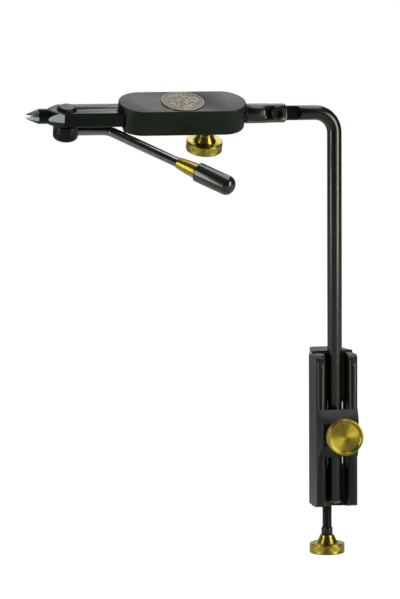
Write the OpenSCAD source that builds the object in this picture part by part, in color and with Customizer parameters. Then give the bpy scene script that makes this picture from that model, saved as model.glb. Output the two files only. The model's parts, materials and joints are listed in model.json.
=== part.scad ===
// Fly tying vise: spring steel jaws in a turning head, on a bent stem held by a table clamp
// Millimetres, +Z up, +X to the right, the user sits at -Y and the jaws point to -X
// Origin: the table screw's axis where it meets the underside of the clamp's upper arm

/* [Table clamp] */
// Width of the clamp's block at its back
block_w = 29; // [27:0.1:34]
// Width of the block over its ribs
block_front_w = 27.6; // [25:0.1:29]
// Depth of the block, from the front of its ribs to its back
block_depth = 21; // [16:0.5:24]
// Width of each rib beside the stem
rib_w = 6.1; // [5:0.1:7]
// How far the ribs reach in front of the stem's axis
rib_proud = 8; // [6:0.25:10]
// Rounding of the block's back edges
block_edge_r = 2; // [1:0.25:3]
// Rounding of the block's upper and lower corners
block_corner_r = 2.5; // [2:0.25:5]
// Height of the clamp's open mouth
mouth_h = 80.4; // [70:0.5:100]
// Thickness of the upper arm, which bears on the table's top
upper_arm_t = 7.6; // [6:0.2:10]
// Thickness of the lower arm, which holds the table screw
lower_arm_t = 14.3; // [10:0.1:18]
// Width of the arms where they leave the block
arm_root_w = 27.2; // [24:0.2:28]
// Distance from the table screw's axis to the arms' ends
arm_reach = 10.5; // [9:0.25:13]
// Width of the arms at their ends
arm_end_w = 19; // [16:0.5:24]
// Rounding of the arms' end corners
arm_end_r = 3; // [1:0.25:5]
// How far behind the ribs' front the upper arm starts
arm_setback = 14; // [10:0.5:16]
// Height of the upper arm above the block's top
arm_step = 1.1; // [0.6:0.1:2]
// Height of the rounded shoulder above the ribs
shoulder_h = 9.5; // [6:0.5:12]
// Depth of the rounded shoulder above the ribs
shoulder_depth = 7; // [5:0.5:8]
// Height of the rounded foot below the ribs
foot_h = 3.5; // [1:0.5:5]
// Depth of the rounded foot below the ribs
foot_depth = 13.5; // [8:0.5:16]
// Height of the bridge where it leaves the ribs
bridge_root_h = 31; // [26:0.5:36]
// Height of the bridge's flat front
bridge_face_h = 15; // [13:0.5:20]
// Width of the bridge at its flat front
bridge_face_w = 25; // [22:0.5:28]
// How far the bridge stands in front of the ribs
bridge_proud = 6.6; // [5:0.2:10]
// Rounding of the bridge's front edges
bridge_edge_r = 1.5; // [1:0.25:4]
// Width of the window behind the bridge
window_w = 14; // [12:0.1:15]
// Height of the window behind the bridge
window_h = 44.6; // [38:0.1:46]
// How far the window's middle lies below the table's top
window_drop = 46.6; // [44:0.1:48]
// Rounding of the window's corners
window_corner_r = 3; // [1:0.25:5]
// Thickness of the wall round the window
window_wall_t = 3; // [2:0.25:4]
// Width of the pocket that opens the window to the block's back
window_pocket_w = 19; // [16:0.5:22]

/* [Stem] */
// Diameter of the stem rod
stem_d = 9.525; // [9:0.025:10]
// Distance from the table screw's axis to the stem's axis
stem_offset = 20; // [19:0.5:24]
// Height of the shaft's axis above the table's top
head_h = 162.9; // [140:0.5:200]
// Distance from the stem's axis to the knuckle's pivot
knuckle_reach = 38.9; // [34:0.1:60]
// Radius of the stem's bend, at its centreline
stem_bend_r = 13; // [10:0.5:16]
// How far the stem's foot reaches below the table's top
stem_foot = 92.2; // [84:0.1:94]
// Thickness of the stem's flattened tongue
tongue_t = 3.2; // [2.8:0.1:4.4]
// Length of the tongue's flats, from the pivot
tongue_run = 16.2; // [11:0.1:18]
// Thickness of the plug's rounded head in the stem's foot
foot_plug_t = 2.2; // [1.6:0.1:3]
// Diameter of the plug's shank
foot_plug_shank_d = 5.8; // [4:0.1:7]
// Length of the plug's shank
foot_plug_shank_l = 9; // [5:0.5:14]

/* [Stem lock] */
// How far the stem lock's axis lies below the table's top
lock_drop = 44.9; // [40:0.1:50]
// Distance from the bridge's front to the knob's hub
lock_gap = 1.3; // [0.5:0.1:3]
// Thickness of the brass shoe that presses on the stem
shoe_t = 2.2; // [1.5:0.1:3]
// Diameter of the knobs' threaded studs
stud_d = 6.35; // [5.5:0.05:7]

/* [Table screw] */
// Outside diameter of the table screw's thread
screw_d = 6.9; // [6.5:0.1:9]
// Opening of the clamp between the upper arm and the swivel pad
table_gap = 22; // [18:0.5:60]
// Diameter of the screw's plain tip inside the pad
screw_tip_d = 5.4; // [4:0.1:6]
// Length of the screw's plain tip
screw_tip_l = 4.6; // [3:0.1:6]
// Diameter of the swivel pad
pad_d = 13; // [11.5:0.25:13.75]
// Thickness of the pad's disc
pad_t = 4; // [3:0.25:5]
// Diameter of the pad's socket
pad_socket_d = 9.5; // [8:0.25:11]
// Length of the pad's socket below its disc
pad_socket_l = 3.5; // [2.5:0.25:5]
// Diameter of the collar above the table screw's knob
collar_d = 7.5; // [7.5:0.1:11]
// Length of the collar
collar_l = 4.6; // [3:0.1:7]
// How far the table screw's knob reaches below the table's top
table_knob_drop = 128.6; // [122:0.5:150]

/* [Knobs] */
// Diameter of the knobs' knurled flange
flange_d = 23.4; // [20:0.2:26]
// Height of the flange
flange_h = 6.6; // [5:0.1:8]
// Diameter of the knob's hub where it meets the flange
hub_root_d = 14.4; // [12:0.2:16]
// Diameter of the hub's end
hub_end_d = 10.4; // [9.2:0.2:11]
// Height of the hub
hub_h = 5.5; // [4:0.1:7]
// Diameter of the turned recess in the knob's face
face_recess_d = 19.3; // [16:0.1:20]
// Depth of the recess
face_recess_h = 1.2; // [0.6:0.1:1.8]
// Bevel of the flange's edges
flange_bevel = 0.7; // [0.3:0.1:1]

/* [Shaft and knuckle] */
// Diameter of the shaft between the knuckle and the housing
shaft_d = 12.7; // [11.5:0.1:13]
// Diameter of the shaft's clevis
clevis_d = 12.6; // [11.2:0.1:12.7]
// How far the clevis reaches past the pivot
clevis_reach = 6.4; // [5.6:0.1:8]
// Rounding of the clevis's end
clevis_end_r = 1.8; // [1:0.1:2.4]
// Distance from the pivot to the step between clevis and shaft
clevis_step = 9.8; // [9.2:0.1:13]
// Half of the clevis's thickness at its milled near face
clevis_face = 4; // [3.6:0.1:5]
// Radius of the spot face round the pivot screw
spot_r = 8.6; // [7:0.1:9]
// Distance from the pivot to the end of the clevis's slot
slot_run = 5.6; // [5.4:0.1:7]
// Diameter of the pivot screw
pivot_d = 6.35; // [5.5:0.05:6.5]
// Diameter of the pivot screw's head
pivot_head_d = 9.1; // [8.8:0.1:10.5]
// Height of the pivot screw's head
pivot_head_h = 4; // [3:0.1:6.35]
// Width of the pivot screw's hexagon socket
pivot_hex_w = 4.76; // [3.5:0.02:5]
// Diameter of the spindle that turns in the housing
spindle_d = 9.525; // [8.5:0.025:10]
// Length of the spindle inside the housing
spindle_l = 41; // [34:0.5:44]
// Width of the groove round the spindle
groove_w = 5.6; // [5.2:0.1:8]
// Depth of the groove
groove_h = 0.8; // [0.5:0.1:1]
// Diameter of the thrust washer between shaft and housing
washer_d = 12.1; // [11:0.1:13]
// Thickness of the thrust washer
washer_t = 0.8; // [0.5:0.1:1.5]

/* [Housing] */
// Roll of the head about the shaft, its top turned towards the user
head_roll = 24; // [0:1:40]
// Distance from the pivot to the housing's right end
housing_start = 20.5; // [17:0.1:26]
// Length of the housing
housing_l = 82.4; // [80:0.1:100]
// Width of the housing
housing_w = 30.5; // [28:0.5:36]
// Height of the housing above the shaft's axis
housing_top = 9; // [8.6:0.1:12]
// Height of the housing below the shaft's axis
housing_bottom = 7.7; // [7.5:0.1:10]
// Rounding of the housing's edges
housing_edge_r = 0.8; // [0.4:0.1:1.2]
// Depth of the jaws' slot from the housing's left end
jaw_slot_l = 10; // [9:0.5:14]
// Side clearance of the jaws in their slot
jaw_slot_gap = 2; // [0.35:0.05:2.5]
// Thickness of the keeper plate under the jaws
keeper_t = 2.6; // [1.8:0.1:2.7]
// Length of the keeper plate behind the jaws' slot
keeper_tail = 13; // [11:0.5:16]
// Distance of the keeper plate's front from the housing's left end
keeper_setback = 2.8; // [1:0.1:4]
// Diameter of the keeper's screws
keeper_screw_d = 2.8; // [2.2:0.1:3.2]
// Length of the keeper's screws
keeper_screw_l = 8; // [6:0.5:10]

/* [Medallion] */
// Diameter of the medallion
medal_d = 27.4; // [22:0.2:28]
// Thickness of the medallion
medal_t = 1.2; // [1:0.1:2]
// How far the medallion stands above the housing
medal_proud = 0.4; // [0.2:0.1:0.8]
// Width of the medallion's raised rim
medal_rim_w = 1; // [0.6:0.1:2]
// Depth of the medallion's field below its rim
medal_field_h = 0.25; // [0.1:0.05:0.5]

/* [Head lock] */
// Distance of the head lock from the housing's middle, towards the shaft
head_lock_shift = 16.6; // [14:0.1:18]
// Distance from the shaft's axis to the head lock's knob face
head_lock_drop = 25.1; // [23.4:0.1:28]
// Thickness of the plug that presses on the spindle
lock_plug_t = 1.3; // [1:0.1:1.6]
// Diameter of the plug
lock_plug_d = 4.8; // [4:0.1:5]

/* [Jaws] */
// Distance from the pivot to the jaws' tip
jaw_tip_reach = 161.5; // [155:0.1:180]
// Width of the jaw bar
jaw_w = 15.5; // [14:0.1:17]
// Height of the jaw bar
jaw_h = 9.6; // [9:0.1:10]
// Bevel of the jaw bar's edges
jaw_bevel = 0.7; // [0.4:0.1:1]
// Diameter of the jaws' tip
tip_d = 3.2; // [2:0.1:4]
// Length of the jaws' ground point
point_l = 7.6; // [6:0.1:9]
// Diameter of the jaws' round neck
neck_d = 9.6; // [8.6:0.1:10]
// Length of the round neck
neck_l = 6; // [4:0.1:8]
// Length of the ground taper behind the neck
taper_l = 9.7; // [8:0.1:12]
// Gap between the closed jaws at their nose
nose_gap = 0.1; // [0.06:0.02:0.2]
// Width of the slit between the jaws behind the cam
slit_w = 0.7; // [0.4:0.05:1]
// Distance from the jaws' tip to the cam's axis
cam_setback = 25.7; // [24:0.1:30]
// Distance from the jaws' dowels to their back end
dowel_setback = 4.6; // [3.5:0.1:5]
// Diameter of the jaws' dowels
dowel_d = 3.175; // [2.5:0.025:3.5]
// Depth of the dowels' holes in the housing's top plate
dowel_hole_h = 2; // [1.5:0.1:2.2]

/* [Cam and lever] */
// Diameter of the cam pin's button
button_d = 12.8; // [11:0.1:14]
// Height of the button
button_h = 1.6; // [1.2:0.1:2.4]
// Width of the button's bevel
button_bevel = 1.8; // [1:0.1:2.4]
// Half of the cam's length
cam_half_l = 4.1; // [3.6:0.1:4.3]
// Half of the cam's thickness
cam_half_t = 2.8; // [2.4:0.05:2.85]
// Half of the width of the cam's pocket between the jaws
pocket_half_w = 3; // [2.95:0.05:3.2]
// Diameter of the cam pin's shank in the lever's hub
cam_shank_d = 6; // [5:0.1:7]
// Diameter of the lever's hub
lever_hub_d = 16.2; // [15:0.1:18]
// Height of the lever's hub
lever_hub_h = 10.8; // [9:0.1:12]
// Bevel round the hub's lower edge
lever_hub_bevel = 1.6; // [0.6:0.1:2]
// Diameter of the screw head under the hub
hub_screw_head_d = 5.6; // [4.6:0.1:6.5]
// Depth of the screw head under the hub
hub_screw_head_h = 1.8; // [1.4:0.1:2.2]
// Diameter of the screw that holds the hub on the cam pin
hub_screw_d = 3; // [2.4:0.1:3.4]
// Length of the hub screw's shank
hub_screw_l = 6; // [5:0.1:6.6]
// Diameter of the lever's rod
rod_d = 6.35; // [5.5:0.05:6.4]
// Distance from the bar's middle plane down to the rod's axis
rod_drop = 10.4; // [10.3:0.1:11.2]
// Distance from the cam's axis to the rod's bend
rod_leg = 27.3; // [20:0.1:32]
// Radius of the rod's bend, at its centreline
rod_bend_r = 9; // [7:0.5:12]
// Angle of the rod's bend
rod_bend_angle = 42.8; // [30:0.2:45]
// Turn of the bend's plane below the level
rod_dip_angle = 9.4; // [0:0.2:20]
// Distance from the bend to the ferrule
rod_run = 53; // [45:0.5:56]
// Depth of the rod inside the ferrule
rod_depth = 10; // [6:0.5:14]
// Length of the ferrule's visible taper
ferrule_l = 14.6; // [12:0.2:20]
// Diameter of the ferrule's thin end
ferrule_thin_d = 6.9; // [6.6:0.1:8]
// Diameter of the ferrule's thick end
ferrule_thick_d = 9.5; // [8.4:0.1:11]
// Diameter of the ferrule's core inside the grip
core_d = 7.4; // [6.8:0.1:8]
// Length of the ferrule's core inside the grip
core_l = 20; // [14:0.5:22]
// Diameter of the grip
grip_d = 12.4; // [10:0.2:14]
// Length of the grip
grip_l = 27; // [24:0.5:40]
// Diameter of the small nib on the grip's end
nib_d = 2.4; // [1.6:0.1:3]
// Height of the nib
nib_h = 0.6; // [0.3:0.1:1]

/* [Fits] */
// Radial clearance where one piece turns or slides in another
run_gap = 0.05; // [0.03:0.01:0.09]
// Radial clearance where one piece is fixed in another
fixed_gap = 0.03; // [0.02:0.01:0.05]
// Gap between faces that pass each other
face_gap = 0.15; // [0.1:0.05:0.3]
// How far a cut runs past the face it opens
overrun = 1; // [0.5:0.1:2]

/* [Hidden] */
$fn = 64;

// Clamp, derived
stem_r = stem_d / 2;
stem_y = -stem_offset;
rib_front_y = stem_y - rib_proud;
block_back_y = rib_front_y + block_depth;
rib_r = rib_w / 2;
rib_y = rib_front_y + rib_r;
channel_w = block_front_w - 2 * rib_w;
floor_y = stem_y + stem_r * 3 / 4;
block_top = upper_arm_t - arm_step;
block_bottom = -mouth_h - lower_arm_t;
block_h = block_top - block_bottom;
arm_front_y = rib_front_y + arm_setback;
shoulder_y = rib_front_y + shoulder_depth;
shoulder_z = block_top - shoulder_h;
shoulder_steps = 10;
foot_y = rib_front_y + foot_depth;
foot_z = block_bottom + foot_h;
bridge_front_y = rib_front_y - bridge_proud;

// Knobs, derived
stud_r = stud_d / 2;
knob_h = flange_h + hub_h;
stud_depth = knob_h - face_recess_h - flange_h / 3;

// Stem lock, derived
shoe_y = stem_y - stem_r - face_gap;
lock_face_y = bridge_front_y - lock_gap - knob_h;

// Table screw, derived
screw_r = screw_d / 2;
pad_face_z = -table_gap;
pad_socket_z = pad_face_z - pad_t - pad_socket_l;
screw_top_z = pad_socket_z - face_gap;
collar_bottom_z = -table_knob_drop + knob_h + fixed_gap;
neck_top_z = collar_bottom_z + collar_l + fixed_gap;

// Head, derived: its frame has the knuckle's pivot at zero and the jaws towards -x
spindle_r = spindle_d / 2;
pivot_r = pivot_d / 2;
shoulder_x = -housing_start + washer_t + face_gap / 2;
housing_end = housing_start + housing_l;
housing_mid = housing_start + housing_l / 2;
head_lock_x = -housing_mid + head_lock_shift;
plug_top_z = -spindle_r + groove_h - face_gap;
head_stud_top_z = plug_top_z - lock_plug_t - face_gap / 3;
edge_steps = 4;

// Jaws, derived
jaw_back_x = -housing_end + jaw_slot_l;
dowel_x = jaw_back_x - face_gap - dowel_setback;
dowel_y = jaw_w / 4;
dowel_r = dowel_d / 2;
cam_x = -jaw_tip_reach + cam_setback;
cam_corner_r = cam_half_l + cam_half_t / 4;
pocket_half_l = cam_corner_r + 2 * face_gap;
slot_half_w = jaw_w / 2 + jaw_slot_gap;
keeper_half_w = slot_half_w - face_gap / 2;
slot_roof_z = jaw_h / 2 + 2 * face_gap;
keeper_front_x = -housing_end + keeper_setback;
keeper_back_x = jaw_back_x + keeper_tail;
keeper_top_z = -housing_bottom + keeper_t;
keeper_screw_pitch = keeper_tail / 2;

// Lever, derived
bar_top_z = jaw_h / 2 + face_gap;
hub_top_z = -jaw_h / 2 - face_gap;
hub_bottom_z = hub_top_z - lever_hub_h;
rod_r = rod_d / 2;
rod_tangent = rod_bend_r * tan(rod_bend_angle / 2);
rod_end = rod_run + rod_depth;
ferrule_end = rod_run + ferrule_l;
grip_end = ferrule_end + grip_l;
core_end = ferrule_end + core_l;
core_r = core_d / 2;

// Frames
module lock_frame() {
    translate([0, lock_face_y, -lock_drop]) rotate([-90, 0, 0]) children();
}

module pivot_frame() {
    translate([-knuckle_reach, stem_y, head_h]) children();
}

module head_frame() {
    pivot_frame() rotate([head_roll, 0, 0]) children();
}

module head_lock_frame() {
    head_frame() translate([head_lock_x, 0, -head_lock_drop]) children();
}

module cam_frame() {
    head_frame() translate([cam_x, 0, 0]) children();
}

// The plane of the lever's bend: its rod leaves the hub along +x and bends towards -y
module lever_frame() {
    cam_frame() translate([0, 0, -rod_drop]) rotate([rod_dip_angle, 0, 0]) children();
}

// The lever's long leg, with the bend's corner at zero and the leg along +z
module leg_frame() {
    lever_frame() translate([rod_leg, 0, 0]) rotate([0, 0, -rod_bend_angle]) rotate([0, 90, 0]) children();
}

// Shared shapes

// An outline drawn in Y and Z, drawn out along X about the middle
module across(width) {
    translate([-width / 2, 0, 0]) rotate([90, 0, 90]) linear_extrude(width) children();
}

// A shape turned about Z, laid along -x
module along_head() {
    rotate([0, -90, 0]) children();
}

module rounded_square(w, h, r) {
    translate([-w / 2, r]) square([w, h - 2 * r]);
    translate([-w / 2 + r, 0]) square([w - 2 * r, h]);
    for (x = [-w / 2 + r, w / 2 - r], y = [r, h - r]) translate([x, y]) circle(r);
}

// A bar with half-round ends along x and rounded upper and lower edges
module round_ended_bar(length, width, z_low, z_high, edge) {
    half = width / 2;
    arc = [for (i = [0:edge_steps]) i * 90 / edge_steps];
    side = concat(
        [for (a = arc) [half - edge + edge * sin(a), z_low + edge - edge * cos(a)]],
        [for (a = arc) [half - edge + edge * cos(a), z_high - edge + edge * sin(a)]]
    );
    ends = concat([[0, z_low]], side, [[0, z_high]]);
    mirrored = [for (i = [len(side) - 1:-1:0]) [-side[i][0], side[i][1]]];
    across(length - width) polygon(concat(side, mirrored));
    for (x = [-1, 1]) translate([x * (length - width) / 2, 0, 0]) rotate_extrude() polygon(ends);
}

// A knob with its face at zero and its hub towards +z
module knob_shape() {
    flange_r = flange_d / 2;
    recess_r = face_recess_d / 2;
    difference() {
        rotate_extrude() polygon([
            [0, face_recess_h],
            [recess_r, face_recess_h],
            [recess_r, flange_bevel / 2],
            [recess_r + flange_bevel / 2, 0],
            [flange_r - flange_bevel, 0],
            [flange_r, flange_bevel],
            [flange_r, flange_h - flange_bevel],
            [flange_r - flange_bevel, flange_h],
            [hub_root_d / 2, flange_h],
            [hub_end_d / 2 + flange_bevel / 2, knob_h - flange_bevel],
            [hub_end_d / 2 - flange_bevel / 2, knob_h],
            [0, knob_h]
        ]);
        translate([0, 0, knob_h - stud_depth]) cylinder(r = stud_r + fixed_gap, h = stud_depth + overrun);
    }
}

// Table clamp

// A plan that runs straight from its root to the rounded corners of its end, in front or behind
module tapered_plan(root_w, root_y, end_w, end_y, r) {
    ahead = end_y > root_y ? 1 : -1;
    corner_x = end_w / 2 - r;
    corner_y = end_y - ahead * r;
    run = [root_w / 2 - corner_x, ahead * (corner_y - root_y)];
    taper = atan2(run[0], run[1]) - asin(r / norm(run));
    side_x = corner_x + r * cos(taper);
    side_y = corner_y + ahead * r * sin(taper);
    polygon([
        [-root_w / 2, root_y],
        [root_w / 2, root_y],
        [side_x, side_y],
        [corner_x, end_y],
        [-corner_x, end_y],
        [-side_x, side_y]
    ]);
    for (side = [-1, 1]) translate([side * corner_x, corner_y]) circle(r);
}

module block_plan() {
    difference() {
        union() {
            tapered_plan(block_front_w, rib_y, block_w, block_back_y, block_edge_r);
            for (side = [-1, 1]) translate([side * (block_front_w / 2 - rib_r), rib_y]) circle(rib_r);
        }
        translate([-channel_w / 2, rib_front_y]) square([channel_w, floor_y - rib_front_y]);
    }
}

module block_side() {
    polygon(concat(
        [for (i = [0:shoulder_steps]) let (a = i * 90 / shoulder_steps)
            [foot_y - foot_depth * cos(a), foot_z - foot_h * sin(a)]],
        [[block_back_y, block_bottom], [block_back_y, block_top]],
        [for (i = [0:shoulder_steps]) let (a = i * 90 / shoulder_steps)
            [shoulder_y - shoulder_depth * sin(a), shoulder_z + shoulder_h * cos(a)]]
    ));
}

module block() {
    intersection() {
        translate([0, 0, block_bottom]) linear_extrude(block_h) block_plan();
        across(block_w) block_side();
        translate([0, block_back_y, block_bottom]) rotate([90, 0, 0])
            linear_extrude(block_depth) rounded_square(block_w, block_h, block_corner_r);
    }
}

module bridge() {
    intersection() {
        translate([0, 0, -lock_drop - bridge_root_h / 2]) linear_extrude(bridge_root_h)
            tapered_plan(block_front_w, rib_y, bridge_face_w, bridge_front_y, bridge_edge_r);
        translate([0, 0, -lock_drop]) across(block_w) polygon([
            [bridge_front_y, -bridge_face_h / 2],
            [rib_front_y, -bridge_root_h / 2],
            [rib_y, -bridge_root_h / 2],
            [rib_y, bridge_root_h / 2],
            [rib_front_y, bridge_root_h / 2],
            [bridge_front_y, bridge_face_h / 2]
        ]);
    }
}

module arm(thickness) {
    linear_extrude(thickness) tapered_plan(arm_root_w, arm_front_y, arm_end_w, arm_reach, arm_end_r);
}

// A cut from the block's back towards the channel's floor, about the window's middle
module window_cut(width, height, front_y) {
    back_y = block_back_y + overrun;
    translate([0, back_y, -window_drop - height / 2]) rotate([90, 0, 0])
        linear_extrude(back_y - front_y) rounded_square(width, height, window_corner_r);
}

module clamp_body() {
    color("#2f3133") difference() {
        union() {
            block();
            bridge();
            arm(upper_arm_t);
            translate([0, 0, block_bottom]) arm(lower_arm_t);
        }
        translate([0, stem_y, block_bottom - overrun])
            cylinder(r = stem_r + run_gap, h = block_h + 2 * overrun);
        window_cut(window_w, window_h, floor_y - face_gap);
        window_cut(window_pocket_w, window_h + window_pocket_w - window_w, floor_y + window_wall_t);
        lock_frame() cylinder(r = stud_r + run_gap, h = stem_y - lock_face_y);
        translate([0, 0, block_bottom - overrun])
            cylinder(r = screw_r + run_gap, h = lower_arm_t + 2 * overrun);
    }
}

// Stem lock

module stem_lock_shoe() {
    color("#b48a2c") translate([0, shoe_y - shoe_t, -lock_drop]) rotate([-90, 0, 0])
        cylinder(r = stud_r - run_gap, h = shoe_t);
}

module stem_lock_stud() {
    start = knob_h - stud_depth + fixed_gap;
    end = shoe_y - shoe_t - face_gap / 3 - lock_face_y;
    color("#1b1b1c") lock_frame() translate([0, 0, start]) cylinder(r = stud_r, h = end - start);
}

module stem_lock_knob() {
    color("#b48a2c") lock_frame() knob_shape();
}

// Table screw

module table_pad() {
    pad_r = pad_d / 2;
    color("#1b1b1c") difference() {
        translate([0, 0, pad_socket_z]) rotate_extrude() polygon([
            [0, 0],
            [pad_socket_d / 2, 0],
            [pad_socket_d / 2, pad_socket_l],
            [pad_r - flange_bevel, pad_socket_l],
            [pad_r, pad_socket_l + flange_bevel],
            [pad_r, pad_socket_l + pad_t - flange_bevel],
            [pad_r - flange_bevel, pad_socket_l + pad_t],
            [0, pad_socket_l + pad_t]
        ]);
        translate([0, 0, pad_socket_z - overrun])
            cylinder(d = screw_tip_d + 2 * run_gap, h = screw_tip_l + overrun);
    }
}

module table_screw() {
    bottom = -table_knob_drop + knob_h - stud_depth + fixed_gap;
    color("#1b1b1c") {
        translate([0, 0, neck_top_z]) cylinder(r = screw_r, h = screw_top_z - neck_top_z);
        translate([0, 0, screw_top_z]) cylinder(d = screw_tip_d, h = screw_tip_l);
        translate([0, 0, bottom]) cylinder(r = stud_r, h = neck_top_z - bottom);
    }
}

module table_screw_collar() {
    color("#1b1b1c") translate([0, 0, collar_bottom_z]) difference() {
        cylinder(d = collar_d, h = collar_l);
        translate([0, 0, -overrun]) cylinder(r = stud_r + fixed_gap, h = collar_l + 2 * overrun);
    }
}

module table_screw_knob() {
    color("#b48a2c") translate([0, 0, -table_knob_drop]) knob_shape();
}

// Stem

module stem_end_plug() {
    shank_z = -stem_foot + foot_plug_t;
    color("#8a8576") translate([0, stem_y, 0]) {
        translate([0, 0, -stem_foot]) rotate_extrude() polygon(concat(
            [for (i = [0:edge_steps]) let (a = i * 90 / edge_steps)
                [(stem_r - run_gap) * sin(a), foot_plug_t * (1 - cos(a))]],
            [[0, foot_plug_t]]
        ));
        translate([0, 0, shank_z]) cylinder(d = foot_plug_shank_d, h = foot_plug_shank_l);
    }
}

module stem_rod() {
    leg_bottom = -stem_foot + foot_plug_t + face_gap / 2;
    leg_top = head_h - stem_bend_r;
    flat_x = -knuckle_reach + tongue_run - stem_r;
    color("#262624") difference() {
        union() {
            translate([0, stem_y, leg_top]) mirror([0, 0, 1])
                cylinder(r = stem_r, h = leg_top - leg_bottom);
            translate([-stem_bend_r, stem_y, leg_top]) rotate([90, 0, 0])
                rotate_extrude(angle = 90) translate([stem_bend_r, 0]) circle(stem_r);
            pivot_frame() rotate([0, 90, 0]) cylinder(r = stem_r, h = knuckle_reach - stem_bend_r);
            pivot_frame() rotate([90, 0, 0]) translate([0, 0, -tongue_t / 2])
                cylinder(r = stem_r, h = tongue_t);
        }
        for (side = [0, 1]) pivot_frame() mirror([0, side, 0]) translate([0, tongue_t / 2, 0]) {
            translate([-2 * stem_r, 0, -stem_r - overrun])
                cube([flat_x + knuckle_reach + 2 * stem_r, stem_d, stem_d + 2 * overrun]);
            translate([flat_x + knuckle_reach, 0, 0]) rotate([-90, 0, 0])
                cylinder(r = stem_r + face_gap, h = stem_d);
        }
        pivot_frame() translate([0, stem_d, 0]) rotate([90, 0, 0])
            cylinder(r = pivot_r + run_gap, h = 2 * stem_d);
        translate([0, stem_y, leg_bottom - overrun])
            cylinder(r = foot_plug_shank_d / 2 + run_gap, h = foot_plug_shank_l + 2 * overrun);
    }
}

// Shaft and knuckle

module head_shaft() {
    shaft_r = shaft_d / 2;
    clevis_r = clevis_d / 2;
    slot_w = tongue_t + 2 * face_gap;
    spindle_end = housing_start + spindle_l;
    groove_x = -head_lock_x - groove_w / 2;
    end_steps = 2 * edge_steps;
    color("#2b2b2a") pivot_frame() difference() {
        along_head() rotate_extrude() polygon(concat(
            [[0, -clevis_reach]],
            [for (i = [0:end_steps]) let (a = i * 90 / end_steps)
                [clevis_r - clevis_end_r * (1 - sin(a)), -clevis_reach + clevis_end_r * (1 - cos(a))]],
            [
                [clevis_r, clevis_step],
                [shaft_r, clevis_step + (shaft_r - clevis_r)],
                [shaft_r, -shoulder_x],
                [spindle_r, -shoulder_x],
                [spindle_r, groove_x],
                [spindle_r - groove_h, groove_x],
                [spindle_r - groove_h, groove_x + groove_w],
                [spindle_r, groove_x + groove_w],
                [spindle_r, spindle_end - groove_h],
                [spindle_r - groove_h, spindle_end],
                [0, spindle_end]
            ]
        ));
        translate([-slot_run, -slot_w / 2, -shaft_r])
            cube([slot_run + clevis_reach + overrun, slot_w, shaft_d]);
        translate([0, -clevis_face, 0]) rotate([90, 0, 0]) cylinder(r = spot_r, h = shaft_r);
        translate([0, shaft_r, 0]) rotate([90, 0, 0]) cylinder(r = pivot_r + fixed_gap, h = shaft_d);
    }
}

module knuckle_screw() {
    color("#2b2b2a") pivot_frame() translate([0, -clevis_face, 0]) rotate([-90, 0, 0]) difference() {
        union() {
            cylinder(r = pivot_r, h = clevis_face + clevis_d / 2 - face_gap);
            translate([0, 0, -pivot_head_h]) rotate_extrude() polygon([
                [0, 0],
                [pivot_head_d / 2 - flange_bevel / 2, 0],
                [pivot_head_d / 2, flange_bevel / 2],
                [pivot_head_d / 2, pivot_head_h],
                [0, pivot_head_h]
            ]);
        }
        translate([0, 0, -pivot_head_h - overrun])
            cylinder(d = pivot_hex_w / cos(30), h = pivot_head_h * 2 / 3 + overrun, $fn = 6);
    }
}

module thrust_washer() {
    color("#111111") pivot_frame() translate([-housing_start + washer_t, 0, 0]) along_head() difference() {
        cylinder(d = washer_d, h = washer_t);
        translate([0, 0, -overrun]) cylinder(r = spindle_r + run_gap, h = washer_t + 2 * overrun);
    }
}

// Housing

module housing() {
    bore_l = spindle_l + overrun;
    color("#4a4c4f") head_frame() difference() {
        translate([-housing_mid, 0, 0])
            round_ended_bar(housing_l, housing_w, -housing_bottom, housing_top, housing_edge_r);
        translate([-housing_start + overrun, 0, 0]) along_head()
            cylinder(r = spindle_r + run_gap, h = bore_l + overrun);
        translate([-housing_end - overrun, -slot_half_w, -housing_bottom - overrun])
            cube([jaw_slot_l + overrun, 2 * slot_half_w, housing_bottom + overrun + slot_roof_z]);
        translate([jaw_back_x - overrun, -slot_half_w, -housing_bottom - overrun])
            cube([keeper_tail + overrun, 2 * slot_half_w, keeper_t + overrun + face_gap / 2]);
        keeper_screw_places() translate([0, 0, -housing_bottom])
            cylinder(r = keeper_screw_d / 2 + fixed_gap, h = keeper_screw_l + face_gap);
        jaw_dowel_places() cylinder(r = dowel_r + fixed_gap, h = slot_roof_z + dowel_hole_h);
        translate([-housing_mid, 0, housing_top - medal_t + medal_proud - fixed_gap])
            cylinder(r = medal_d / 2 + fixed_gap, h = medal_t + overrun);
        translate([head_lock_x, 0, -housing_bottom - overrun])
            cylinder(r = stud_r + run_gap, h = housing_bottom + overrun);
    }
}

module medallion() {
    medal_r = medal_d / 2;
    field_z = medal_t - medal_field_h;
    color("#8d7f63") head_frame() translate([-housing_mid, 0, housing_top + medal_proud - medal_t])
        rotate_extrude() polygon([
            [0, 0],
            [medal_r, 0],
            [medal_r, medal_t - medal_field_h / 2],
            [medal_r - medal_field_h / 2, medal_t],
            [medal_r - medal_rim_w, medal_t],
            [medal_r - medal_rim_w - medal_field_h, field_z],
            [0, field_z]
        ]);
}

module jaw_dowel_places() {
    for (side = [-1, 1]) translate([dowel_x, side * dowel_y, 0]) children();
}

module jaw_dowels() {
    bottom = keeper_top_z + fixed_gap;
    color("#9a9a98") head_frame() jaw_dowel_places() translate([0, 0, bottom])
        cylinder(r = dowel_r, h = slot_roof_z + dowel_hole_h - fixed_gap - bottom);
}

module keeper_screw_places() {
    for (i = [0, 1]) translate([jaw_back_x + keeper_tail / 4 + i * keeper_screw_pitch, 0, 0]) children();
}

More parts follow.
